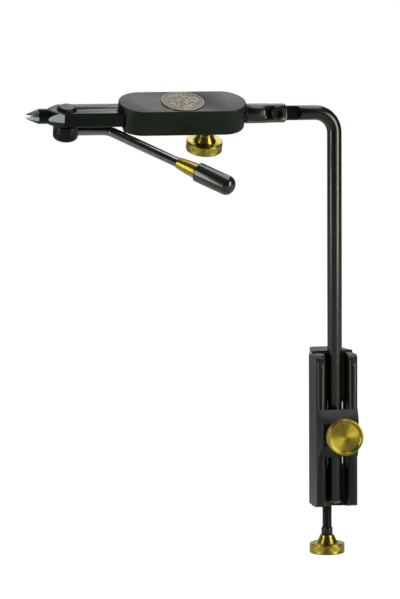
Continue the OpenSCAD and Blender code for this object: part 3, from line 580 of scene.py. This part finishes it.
def rounded(corners, radius, steps=4):
    """A profile of (r, z) points with its turns eased by that radius, or by less where a side is short."""
    eased = [corners[0]]
    for before, corner, after in zip(corners, corners[1:], corners[2:]):
        here = Vector(corner)
        back, ahead = Vector(before) - here, Vector(after) - here
        reach_back = min(radius, back.length * 0.45)
        reach_ahead = min(radius, ahead.length * 0.45)
        start = here + back.normalized() * reach_back
        end = here + ahead.normalized() * reach_ahead
        for step in range(steps + 1):
            t = step / steps
            eased.append(tuple(start * (1 - t) ** 2 + here * 2 * t * (1 - t) + end * t ** 2))
    eased.append(corners[-1])
    return eased


def refined(profile, longest, low=-math.inf, high=math.inf):
    """The profile with its sides between two heights split until none is longer than that."""
    fine = [profile[0]]
    for start, end in zip(profile, profile[1:]):
        start, end = Vector(start), Vector(end)
        inside = low <= min(start.y, end.y) and max(start.y, end.y) <= high
        parts = math.ceil((end - start).length / longest) if inside else 1
        for part in range(1, max(parts, 1) + 1):
            fine.append(tuple(start.lerp(end, part / max(parts, 1))))
    return fine


def turned(name, profile, segments=SEGMENTS, ring=False):
    """A mesh turned about z from (r, z) points. Its turned UV map has the profile's length in U and
    the share of a turn in V. A ring's profile is a loop that stays clear of the axis."""
    if ring:
        profile = profile + [profile[0]]
    lengths = [0.0]
    for start, end in zip(profile, profile[1:]):
        lengths.append(lengths[-1] + (Vector(end) - Vector(start)).length)
    mesh = bmesh.new()
    uv = mesh.loops.layers.uv.new(TURNED_UV)
    rows = []
    for index, (r, z) in enumerate(profile):
        if ring and index == len(profile) - 1:
            rows.append(rows[0])
        elif r < 0.001 * MM:
            rows.append([mesh.verts.new((0, 0, z))] * (segments + 1))
        else:
            turns = [2 * math.pi * step / segments for step in range(segments)]
            row = [mesh.verts.new((r * math.cos(turn), r * math.sin(turn), z)) for turn in turns]
            rows.append(row + [row[0]])
    for index, (lower, upper) in enumerate(zip(rows, rows[1:])):
        for step in range(segments):
            corners = [(lower, index, step), (lower, index, step + 1), (upper, index + 1, step + 1),
                       (upper, index + 1, step)]
            kept = []
            for row, level, place in corners:
                if all(row[place] is not other[0] for other in kept):
                    kept.append((row[place], (lengths[level], place / segments)))
            if len(kept) < 3:
                continue
            face = mesh.faces.new([vertex for vertex, _ in kept])
            face.smooth = True
            for loop, (_, place) in zip(face.loops, kept):
                loop[uv].uv = place
    made = bpy.data.meshes.new(name)
    mesh.to_mesh(made)
    mesh.free()
    return made


def distance_from_axis(w, x, y):
    """How far a point is from the z axis, as a socket of the tree."""
    return w.math("SQRT", w.math("ADD", w.math("MULTIPLY", x, x), w.math("MULTIPLY", y, y)))


def dress_shape(w, geometry, material, out):
    """Ends a geometry tree: its result is made real and gets the material."""
    real = w.node("GeometryNodeRealizeInstances", Geometry=geometry)
    with_finish = w.node("GeometryNodeSetMaterial", Geometry=real.outputs["Geometry"], Material=material)
    w.set(out["Geometry"], with_finish.outputs["Geometry"])


def make_rolled_pattern():
    """A geometry tree for what is rolled or cut in a turned part: one set of helical ridges for a
    thread, or two crossed sets for a knurl, between two heights."""
    tree, given, out = new_group(
        "Rolled pattern",
        "GeometryNodeTree",
        [
            ("Geometry", SHAPE, None),
            ("Starts", FLOAT, 1.0),
            ("Pitch", FLOAT, 1.27 * MM),
            ("Depth", FLOAT, 0.5 * MM),
            ("Low", FLOAT, 0.0),
            ("High", FLOAT, 10 * MM),
            ("Fade", FLOAT, 0.5 * MM),
            ("Crossed", FLOAT, 0.0),
            ("Least radius", FLOAT, 0.0),
            ("Material", MATERIAL, None),
        ],
        [("Geometry", SHAPE)],
    )
    w = Wiring(tree)
    place = w.node("GeometryNodeInputPosition").outputs["Position"]
    x, y, z = w.node("ShaderNodeSeparateXYZ", Vector=place).outputs
    share = w.math("DIVIDE", w.math("ARCTAN2", y, x), 2 * math.pi)
    around_part = w.math("MULTIPLY", share, given["Starts"])
    along_part = w.math("DIVIDE", z, given["Pitch"])
    first = w.math("PINGPONG", w.math("SUBTRACT", around_part, along_part), 0.5)
    second = w.math("PINGPONG", w.math("ADD", around_part, along_part), 0.5)
    second_or_full = w.math("MAXIMUM", second, w.math("SUBTRACT", 1.0, given["Crossed"]))
    ridge = w.math("MULTIPLY", w.math("MINIMUM", first, second_or_full), 2.0)
    radius = distance_from_axis(w, x, y)
    from_low = w.remap(z, given["Low"], w.math("ADD", given["Low"], given["Fade"]))
    to_high = w.remap(z, given["High"], w.math("SUBTRACT", given["High"], given["Fade"]))
    band = w.math("MULTIPLY", from_low, to_high)
    outside = w.math("GREATER_THAN", radius, given["Least radius"])
    cut = w.math("MULTIPLY", w.math("SUBTRACT", 1.0, ridge), w.math("MULTIPLY", band, outside))
    inward = w.math("DIVIDE", w.math("MULTIPLY", cut, given["Depth"]), w.math("MAXIMUM", radius, MM / 100))
    flat = w.node("ShaderNodeCombineXYZ", X=x, Y=y)
    offset = w.node("ShaderNodeVectorMath", {"operation": "SCALE"})
    w.set(offset.inputs[0], flat.outputs["Vector"])
    w.set(offset.inputs["Scale"], w.math("MULTIPLY", inward, -1.0))
    moved = w.node("GeometryNodeSetPosition", Geometry=given["Geometry"], Offset=offset.outputs["Vector"])
    dress_shape(w, moved.outputs["Geometry"], given["Material"], out)
    return tree


def make_relief():
    """A geometry tree for a cast field: it raises a mottled relief inside one radius, and keeps its height
    as an attribute, which is RIM_LEVEL outside another radius."""
    tree, given, out = new_group(
        "Mottled relief",
        "GeometryNodeTree",
        [
            ("Geometry", SHAPE, None),
            ("Radius", FLOAT, 12 * MM),
            ("Rim radius", FLOAT, 13 * MM),
            ("Base", FLOAT, 1.0 * MM),
            ("Height", FLOAT, 0.2 * MM),
            ("Feature size", FLOAT, 2.4 * MM),
            ("Seed", FLOAT, 3.0),
            ("Material", MATERIAL, None),
        ],
        [("Geometry", SHAPE)],
    )
    w = Wiring(tree)
    place = w.node("GeometryNodeInputPosition").outputs["Position"]
    x, y, z = w.node("ShaderNodeSeparateXYZ", Vector=place).outputs
    radius = distance_from_axis(w, x, y)
    field = w.remap(radius, given["Radius"], w.math("MULTIPLY", given["Radius"], 0.92), smooth=True)
    on_top = w.math("MULTIPLY", field, w.math("GREATER_THAN", z, given["Base"]))
    noise = w.node("ShaderNodeTexNoise", {"noise_dimensions": "4D"}, Vector=place, W=given["Seed"])
    w.set(noise.inputs["Scale"], w.math("DIVIDE", 1.0, given["Feature size"]))
    w.set(noise.inputs["Detail"], 3.0)
    w.set(noise.inputs["Distortion"], 0.8)
    mottle = w.remap(noise.outputs["Fac"], 0.36, 0.64, smooth=True)
    lift = w.math("MULTIPLY", w.math("MULTIPLY", mottle, on_top), given["Height"])
    rise = w.node("ShaderNodeCombineXYZ", Z=lift)
    moved = w.node("GeometryNodeSetPosition", Geometry=given["Geometry"], Offset=rise.outputs["Vector"])
    keep = w.node("GeometryNodeStoreNamedAttribute", {"data_type": "FLOAT", "domain": "POINT"})
    w.set(keep.inputs["Geometry"], moved.outputs["Geometry"])
    w.set(keep.inputs["Name"], RELIEF)
    on_rim = w.math("GREATER_THAN", radius, given["Rim radius"])
    level = w.remap(on_top, 0.0, 1.0, BARE_LEVEL, mottle)
    value = next(s for s in keep.inputs if s.name == "Value" and s.enabled)
    w.set(value, w.math("MAXIMUM", level, w.math("MULTIPLY", on_rim, RIM_LEVEL)))
    dress_shape(w, keep.outputs["Geometry"], given["Material"], out)
    return tree


ROLLED = make_rolled_pattern()
RELIEF_TREE = make_relief()


def worked(mesh, tree, **values):
    """The mesh after a geometry tree has worked on it, with the tree's named inputs given."""
    rough = bpy.data.objects.new(mesh.name + "_rough", mesh)
    bpy.context.scene.collection.objects.link(rough)
    modifier = rough.modifiers.new("work", "NODES")
    modifier.node_group = tree
    keys = {item.name: item.identifier for item in tree.interface.items_tree if item.in_out == "INPUT"}
    for name, value in values.items():
        modifier[keys[name.replace("_", " ")]] = value
    made = evaluated(rough)
    bpy.data.objects.remove(rough)
    return made


def evaluated(obj):
    """A plain mesh of an object with its modifiers applied."""
    bpy.context.view_layer.update()
    graph = bpy.context.evaluated_depsgraph_get()
    finished = obj.evaluated_get(graph)
    return bpy.data.meshes.new_from_object(finished, preserve_all_data_layers=True, depsgraph=graph)


def piece(node, mesh, place=Matrix.Identity(4), material=None):
    """Shows a mesh in place of a CAD node, on that node's body and with its slot."""
    mesh.transform(place)
    if material:
        mesh.materials.clear()
        mesh.materials.append(material)
    made = bpy.data.objects.new(node + "_piece", mesh)
    bpy.context.scene.collection.objects.link(made)
    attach(made, nodes[node]["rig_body"])
    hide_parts(node)
    return made


def dressed(node, width, segments):
    """A copy of a CAD node, merged, with its sharp edges rounded and its curved faces shaded smooth."""
    copy = nodes[node].data.copy()
    mesh = bmesh.new()
    mesh.from_mesh(copy)
    bmesh.ops.remove_doubles(mesh, verts=mesh.verts, dist=MERGE)
    bmesh.ops.dissolve_degenerate(mesh, edges=mesh.edges, dist=MERGE)
    bmesh.ops.dissolve_limit(
        mesh,
        angle_limit=FLAT_WITHIN,
        verts=mesh.verts,
        edges=mesh.edges,
        use_dissolve_boundaries=False,
    )
    bmesh.ops.recalc_face_normals(mesh, faces=mesh.faces)
    for face in mesh.faces:
        face.smooth = True
    mesh.to_mesh(copy)
    mesh.free()
    rough = bpy.data.objects.new(node + "_rough", copy)
    bpy.context.scene.collection.objects.link(rough)
    bevel = rough.modifiers.new("bevel", "BEVEL")
    bevel.width = width
    bevel.segments = segments
    bevel.limit_method = "ANGLE"
    bevel.angle_limit = SHARP_ABOVE
    bevel.use_clamp_overlap = True
    bevel.harden_normals = True
    made = evaluated(rough)
    bpy.data.objects.remove(rough)
    return made


# Knobs

KNURL_PITCH = 0.9 * MM
KNURL_DEPTH = 0.16 * MM
SCREW_PITCH = 1.32 * MM
STUD_PITCH = 1.27 * MM
THREAD_SHARE = 0.62


def profile_sizes(node, matrix):
    """Heights and radii of a turned CAD node's rings, as sorted (z, r) pairs, to 0.01 mm."""
    inverse = matrix.inverted()
    found = set()
    for vertex in nodes[node].data.vertices:
        p = inverse @ vertex.co
        found.add((round(p.z / MM, 2) * MM, round(math.hypot(p.x, p.y) / MM, 2) * MM))
    return sorted(found)


def knob(node, place):
    """A turned brass knob with a spun recessed face, a rounded bright rim and a fine diamond knurl."""
    rings = profile_sizes(node, place)
    top = max(z for z, r in rings)
    flange_r = max(r for z, r in rings)
    flange_top = max(z for z, r in rings if r > flange_r * 0.9)
    hub_root = max(r for z, r in rings if abs(z - flange_top) < CLOSE and r < flange_r * 0.8)
    hub_end = max(r for z, r in rings if abs(z - top) < CLOSE)
    bore = min(r for z, r in rings if abs(z - top) < CLOSE)
    recess_r = max(r for z, r in rings if r < flange_r * 0.86 and z < flange_top * 0.4)
    recess_z = max(z for z, r in rings if r < flange_r * 0.84 and z < flange_top * 0.4)
    bore_z = min(z for z, r in rings if abs(r - bore) < CLOSE and z > recess_z + MM / 10)
    ease = 0.9 * MM
    profile = rounded([
        (0, recess_z),
        (recess_r - 0.4 * MM, recess_z),
        (recess_r, recess_z * 0.5),
        (recess_r + 0.35 * MM, 0),
        (flange_r, 0),
        (flange_r, flange_top),
        (hub_root, flange_top),
        (hub_root - 0.5 * MM, flange_top + 0.9 * MM),
        (hub_end, top - 0.8 * MM),
        (hub_end, top),
        (bore, top),
        (bore, bore_z),
        (0, bore_z),
    ], ease, steps=6)
    profile = refined(profile, 0.15 * MM, ease, flange_top - ease)
    profile = refined(profile, 1.2 * MM)
    mesh = turned(node, profile, FINE_SEGMENTS)
    return piece(node, worked(
        mesh,
        ROLLED,
        Starts=float(round(2 * math.pi * flange_r / KNURL_PITCH)),
        Pitch=KNURL_PITCH * 1.2,
        Depth=KNURL_DEPTH,
        Low=ease,
        High=flange_top - ease * 0.8,
        Fade=0.25 * MM,
        Crossed=1.0,
        Least_radius=flange_r * 0.98,
        Material=brass_turned,
    ), place)


knob("table_screw_knob", seated("table_screw_knob", SCREW_AXIS, X, Z))
knob("stem_lock_knob", seated("stem_lock_knob", STEM_LOCK, X, Y))
knob("head_lock_knob", seated("head_lock_knob", HEAD_LOCK, X, HEAD_UP))

# Threads


def threaded(node, place, pitch, ends):
    """A stud or screw whose widest length has a thread, with its thinner ends as the CAD has them."""
    rings = profile_sizes(node, place)
    levels = sorted({z for z, r in rings})
    widest = max(r for z, r in rings)
    threaded_levels = [z for z, r in rings if r > widest - CLOSE]
    low, high = min(threaded_levels), max(threaded_levels)
    profile = [(0, levels[0])]
    for z in levels:
        sizes = sorted({r for level, r in rings if abs(level - z) < 0.005 * MM and r > 0.1 * MM})
        rising = sizes if len(profile) == 1 or profile[-1][0] <= sizes[0] + 0.01 * MM else sizes[::-1]
        profile += [(r, z) for r in rising]
    profile.append((0, levels[-1]))
    profile = refined(rounded(profile, ends, steps=3), pitch / 10, low, high)
    return piece(node, worked(
        turned(node, profile),
        ROLLED,
        Starts=1.0,
        Pitch=pitch,
        Depth=pitch * THREAD_SHARE,
        Low=low,
        High=high,
        Fade=pitch * 0.6,
        Crossed=0.0,
        Least_radius=widest * 0.9,
        Material=screw_black,
    ), place)


threaded("table_screw", seated("table_screw", SCREW_AXIS, X, Z), SCREW_PITCH, 0.3 * MM)
threaded("stem_lock_stud", seated("stem_lock_stud", STEM_LOCK, X, Y), STUD_PITCH, 0.3 * MM)
threaded("head_lock_stud", seated("head_lock_stud", HEAD_LOCK, X, HEAD_UP), STUD_PITCH, 0.3 * MM)

# Medallion

MEDAL = seated("medallion", middle("medallion"), X, HEAD_UP)


def medallion():
    """A cast disc with a raised rim, a fine ring inside it and a mottled field, but no picture."""
    rings = profile_sizes("medallion", MEDAL)
    top = max(z for z, r in rings)
    radius = max(r for z, r in rings)
    rim_inner = min(r for z, r in rings if abs(z - top) < 0.02 * MM)
    field_z = max(z for z, r in rings if r < rim_inner * 0.99 and z < top - CLOSE)
    ring_r = rim_inner - 0.55 * MM
    ring_w = 0.2 * MM
    profile = rounded([
        (0, 0),
        (radius, 0),
        (radius, top),
        (rim_inner, top),
        (rim_inner - 0.25 * MM, field_z),
        (ring_r + ring_w, field_z),
        (ring_r, (field_z + top) / 2),
        (ring_r - ring_w, field_z),
        (0, field_z),
    ], 0.2 * MM, steps=3)
    mesh = turned("medallion", refined(profile, 0.16 * MM, field_z - MM / 100, top), 360)
    return piece("medallion", worked(
        mesh,
        RELIEF_TREE,
        Radius=ring_r - ring_w,
        Rim_radius=radius - 0.35 * MM,
        Base=field_z - MM / 50,
        Height=(top - field_z) * 0.8,
        Feature_size=1.6 * MM,
        Seed=3.0,
        Material=bronze,
    ), MEDAL)


medallion()

# Lever

HUB = seated("lever_hub", CAM.translation, X, HEAD_UP)
leg_near, leg_far = middle("lever_ferrule"), middle("lever_grip")
LEG = (leg_far - leg_near).normalized()


def lever_hub():
    """The lever's hub, turned with a rounded foot and fine grooves."""
    rings = profile_sizes("lever_hub", HUB)
    top = max(z for z, r in rings)
    radius = max(r for z, r in rings)
    foot = max(r for z, r in rings if z < CLOSE)
    bore = min(r for z, r in rings if z < CLOSE)
    bevel = min(z for z, r in rings if r > radius - 0.02 * MM)
    side = [(radius, bevel)]
    for share in HUB_GROOVES:
        side += [(radius, top * share - GROOVE_W / 2), (radius - GROOVE_W / 3, top * share),
                 (radius, top * share + GROOVE_W / 2)]
    side += [(radius, top - bevel / 2), (radius - bevel / 2, top)]
    foot_edge = rounded([(bore, 0), (foot, 0), (radius, bevel), (radius, top / 2)], bevel, steps=8)[:-1]
    profile = foot_edge + rounded(side, 0.15 * MM, steps=2)[1:] + [(bore, top)]
    mesh = turned("lever_hub", profile, FINE_SEGMENTS // 2, ring=True)
    return piece("lever_hub", mesh, HUB, FINISHES["lever_hub"])


def lever_ferrule():
    """The turned brass ferrule: an ogive that ends in a small step at the grip, and its hidden core."""
    place = seated("lever_ferrule", leg_near, LEG.orthogonal(), LEG)
    rings = profile_sizes("lever_ferrule", place)
    top = max(z for z, r in rings)
    mouth = max(r for z, r in rings if z < 0.02 * MM)
    bore = min(r for z, r in rings if z < 0.02 * MM)
    thick = max(r for z, r in rings)
    step_z = max(z for z, r in rings if r > thick - CLOSE)
    core = max(r for z, r in rings if z > step_z + MM)
    bore_z = max(z for z, r in rings if abs(r - bore) < CLOSE and z < step_z)
    swell = thick - mouth
    ogive = [(mouth + swell * math.sin(i / 24 * math.pi / 2), step_z * i / 24) for i in range(25)]
    profile = [(bore, 0), (mouth - 0.15 * MM, 0), (mouth, 0.15 * MM)] + ogive[1:-1] + [
        (thick, step_z - 0.3 * MM), (thick - 0.15 * MM, step_z), (core, step_z), (core, top - 0.5 * MM),
        (core - 0.5 * MM, top), (0, top),
    ]
    inner = [(0, bore_z), (bore, bore_z)]
    return piece("lever_ferrule", turned("lever_ferrule", inner + profile), place, brass_turned)


def lever_grip():
    """The dipped vinyl grip with its soft rounded end and small nib."""
    place = seated("lever_grip", leg_far, LEG.orthogonal(), LEG)
    rings = profile_sizes("lever_grip", place)
    top = max(z for z, r in rings)
    radius = max(r for z, r in rings)
    bore = min(r for z, r in rings if z < 0.02 * MM)
    bore_z = max(z for z, r in rings if abs(r - bore) < CLOSE and z < top * 0.9)
    nib_r = NIB_SHARE * radius
    nib_h = 0.6 * MM
    dome = GRIP_DOME_SHARE * radius
    dome_z = top - nib_h - dome
    turns = [step / 16 * math.pi / 2 for step in range(17)]
    curve = [(radius - dome + dome * math.cos(turn), dome_z + dome * math.sin(turn)) for turn in turns]
    side = [(radius - 0.5 * MM, 0), (radius - 0.1 * MM, 0.25 * MM), (radius, 0.9 * MM)]
    end = [(nib_r * 1.3, top - nib_h), (nib_r, top - nib_h * 0.7), (nib_r * 0.6, top - nib_h * 0.1), (0, top)]
    profile = [(0, bore_z), (bore, bore_z), (bore, 0)] + side + curve + end
    return piece("lever_grip", turned("lever_grip", profile), place, vinyl)


NIB_SHARE = 0.21
GRIP_DOME_SHARE = 0.8
HUB_GROOVES = (0.62, 0.74, 0.86)
GROOVE_W = 0.5 * MM
lever_hub()
lever_ferrule()
lever_grip()

# Dressed copies of the CAD parts, each with the width and the steps of its rounded edges

DRESSED = {
    "clamp_body": (0.7 * MM, 3),
    "table_pad": (0.3 * MM, 2),
    "table_screw_collar": (0.5 * MM, 2),
    "stem_lock_shoe": (0.2 * MM, 2),
    "stem_end_plug": (0.2 * MM, 2),
    "stem_rod": (0.35 * MM, 3),
    "head_shaft": (0.3 * MM, 2),
    "knuckle_screw": (0.3 * MM, 2),
    "thrust_washer": (0.1 * MM, 2),
    "housing": (0.3 * MM, 2),
    "jaw_dowels": (0.2 * MM, 2),
    "jaw_keeper": (0.2 * MM, 2),
    "keeper_screws": (0.1 * MM, 2),
    "head_lock_plug": (0.15 * MM, 2),
    "cam_pin": (1.5 * MM, 7),
    "hub_screw": (0.15 * MM, 2),
    "lever_rod": (0.3 * MM, 2),
    "near_jaw": (0.25 * MM, 2),
    "far_jaw": (0.25 * MM, 2),
}

# The ground point's length, and how far the taper's faces lean towards the tip
POINT_L = 7.6 * MM
TAPER_LEAN = (0.2, 0.4)


def bare_ground_faces(jaw, node):
    """Gives the ground steel finish, bright steel on top with painted shade below, to a jaw's ground point
    and to the flat taper behind its neck.
    """
    jaw.data.materials.append(ground_steel_shaded_below)
    into_head = HEAD.to_3x3().inverted()
    tip = reach(node, PIVOT, X)[0]
    for face in jaw.data.polygons:
        normal = into_head @ face.normal
        on_point = face.center.x - PIVOT.x < tip + POINT_L - MM / 10
        on_taper = TAPER_LEAN[0] < -normal.x < TAPER_LEAN[1] and abs(normal.z) < 0.1
        if on_point or on_taper:
            face.material_index = 1


for node_name, (edge, steps) in DRESSED.items():
    made = piece(node_name, dressed(node_name, edge, steps), material=FINISHES[node_name])
    if node_name in ("near_jaw", "far_jaw"):
        bare_ground_faces(made, node_name)

# Stage

FLOOR_Z = -0.182
FLOOR_HALF = 3.0
PAPER_DARK = (0.50, 0.52, 0.51, 1)
PAPER_LIGHT = (0.52, 0.54, 0.53, 1)
PAPER_GLOW = 0.9
ROOM_TINT = (0.80, 1.0, 0.76, 1)

# Each glow runs between two places or directions, and has a brightness at either end
FLOOR_GLOW_NEAR = (-0.14, 0.20, 0.0, 0.40)
FLOOR_GLOW_FAR = (0.18, 0.5, 1.0, 0.2)
ROOM_GLOW_BEHIND = (0.35, 0.95, 0.025, 0.46)
ROOM_GLOW_HORIZON = (0.95, 0.99, 0.0, 0.8)
ROOM_GLOW_ABOVE = (0.55, 0.97, 0.0, 0.12)
TINT_FADE = (-0.2, 0.4)


def add_floor():
    """A floor of pale paper. The camera sees it near white, and polished parts reflect a soft band of it
    that is brightest just behind the object."""
    mesh = bpy.data.meshes.new("floor")
    corners = [(x * FLOOR_HALF, y * FLOOR_HALF, FLOOR_Z) for x, y in ((-1, -1), (1, -1), (1, 1), (-1, 1))]
    mesh.from_pydata(corners, [], [(0, 1, 2, 3)])
    material, w, shader = start_finish("floor_paper", Roughness=0.9)
    patches = w.group(GRAIN, Patch_size=0.4, Patchiness=0.3)["Patches"]
    w.set(shader["Base Color"], w.mix(patches, PAPER_DARK, PAPER_LIGHT))
    shader["Emission Color"].default_value = grey(1.0)
    rays = w.node("ShaderNodeLightPath").outputs
    place = w.node("ShaderNodeTexCoord").outputs["Object"]
    back = w.node("ShaderNodeSeparateXYZ", Vector=place).outputs["Y"]
    near = w.remap(back, *FLOOR_GLOW_NEAR, smooth=True)
    far = w.remap(back, *FLOOR_GLOW_FAR, smooth=True)
    mirrored = w.math("MULTIPLY", rays["Is Glossy Ray"], w.math("MULTIPLY", near, far))
    w.set(shader["Emission Strength"], w.math("MULTIPLY_ADD", rays["Is Camera Ray"], PAPER_GLOW, mirrored))
    mesh.materials.append(material)
    floor = bpy.data.objects.new("floor", mesh)
    bpy.context.scene.collection.objects.link(floor)


def add_world():
    """White to the camera. For light and reflections the room is pale behind the object, dimmer above it,
    and dark and slightly green in front."""
    world = bpy.data.worlds.new("studio")
    bpy.context.scene.world = world
    world.use_nodes = True
    w = Wiring(world.node_tree)
    background = world.node_tree.nodes["Background"].inputs
    way = w.node("ShaderNodeTexCoord").outputs["Generated"]
    facing = w.node("ShaderNodeSeparateXYZ", Vector=way).outputs
    behind = w.remap(facing["Y"], *ROOM_GLOW_BEHIND, smooth=True)
    above = w.remap(facing["Z"], *ROOM_GLOW_ABOVE, smooth=True)
    horizon = w.remap(facing["Y"], *ROOM_GLOW_HORIZON, smooth=True)
    level = w.math("ADD", w.math("ADD", behind, horizon), above)
    seen = w.node("ShaderNodeLightPath").outputs["Is Camera Ray"]
    lit = w.mix(w.remap(facing["Y"], *TINT_FADE), ROOM_TINT, grey(1.0))
    w.set(background["Color"], w.mix(seen, lit, grey(1.0)))
    w.set(background["Strength"], w.remap(seen, 0.0, 1.0, level, 1.0))


def add_softbox(name, centre, aim, side, width, height, watts, colour):
    """A rectangular light that faces a point, with its width near the side direction."""
    data = bpy.data.lights.new(name, "AREA")
    data.shape = "RECTANGLE"
    data.size = width
    data.size_y = height
    data.energy = watts
    data.color = colour
    light = bpy.data.objects.new(name, data)
    back = (centre - aim).normalized()
    up = back.cross(side).normalized()
    light.matrix_world = placed(centre, up.cross(back), back)
    bpy.context.scene.collection.objects.link(light)


def around(angle, distance, height):
    """A place round the object, at an angle from the camera's own direction, positive to the left."""
    turn = AZIMUTH + math.radians(angle)
    return Vector((TARGET.x - math.sin(turn) * distance, -math.cos(turn) * distance, height))


def add_lights():
    """A long softbox above and behind the head, and a tall one on either side of the camera."""
    part = Vector((TARGET.x, 0, 0.05))
    head = Vector((TARGET.x, 0, PIVOT.z))
    overhead = Vector((0.22, 0.35, 1.42))
    add_softbox("top_softbox", overhead, head, X, 0.8, 2.4, 12.0, (0.96, 0.98, 1.0))
    for name, angle, watts, colour in (
        ("left_softbox", 58, 8.8, (0.96, 1.0, 0.85)),
        ("right_softbox", -57, 12.5, (0.98, 1.0, 0.78)),
    ):
        centre = around(angle, 1.3, 0.10)
        add_softbox(name, centre, part, Z.cross(centre - part), 0.50, 1.3, watts, colour)


bpy.context.scene.view_settings.view_transform = "Standard"
add_camera()
add_world()
add_lights()
add_floor()
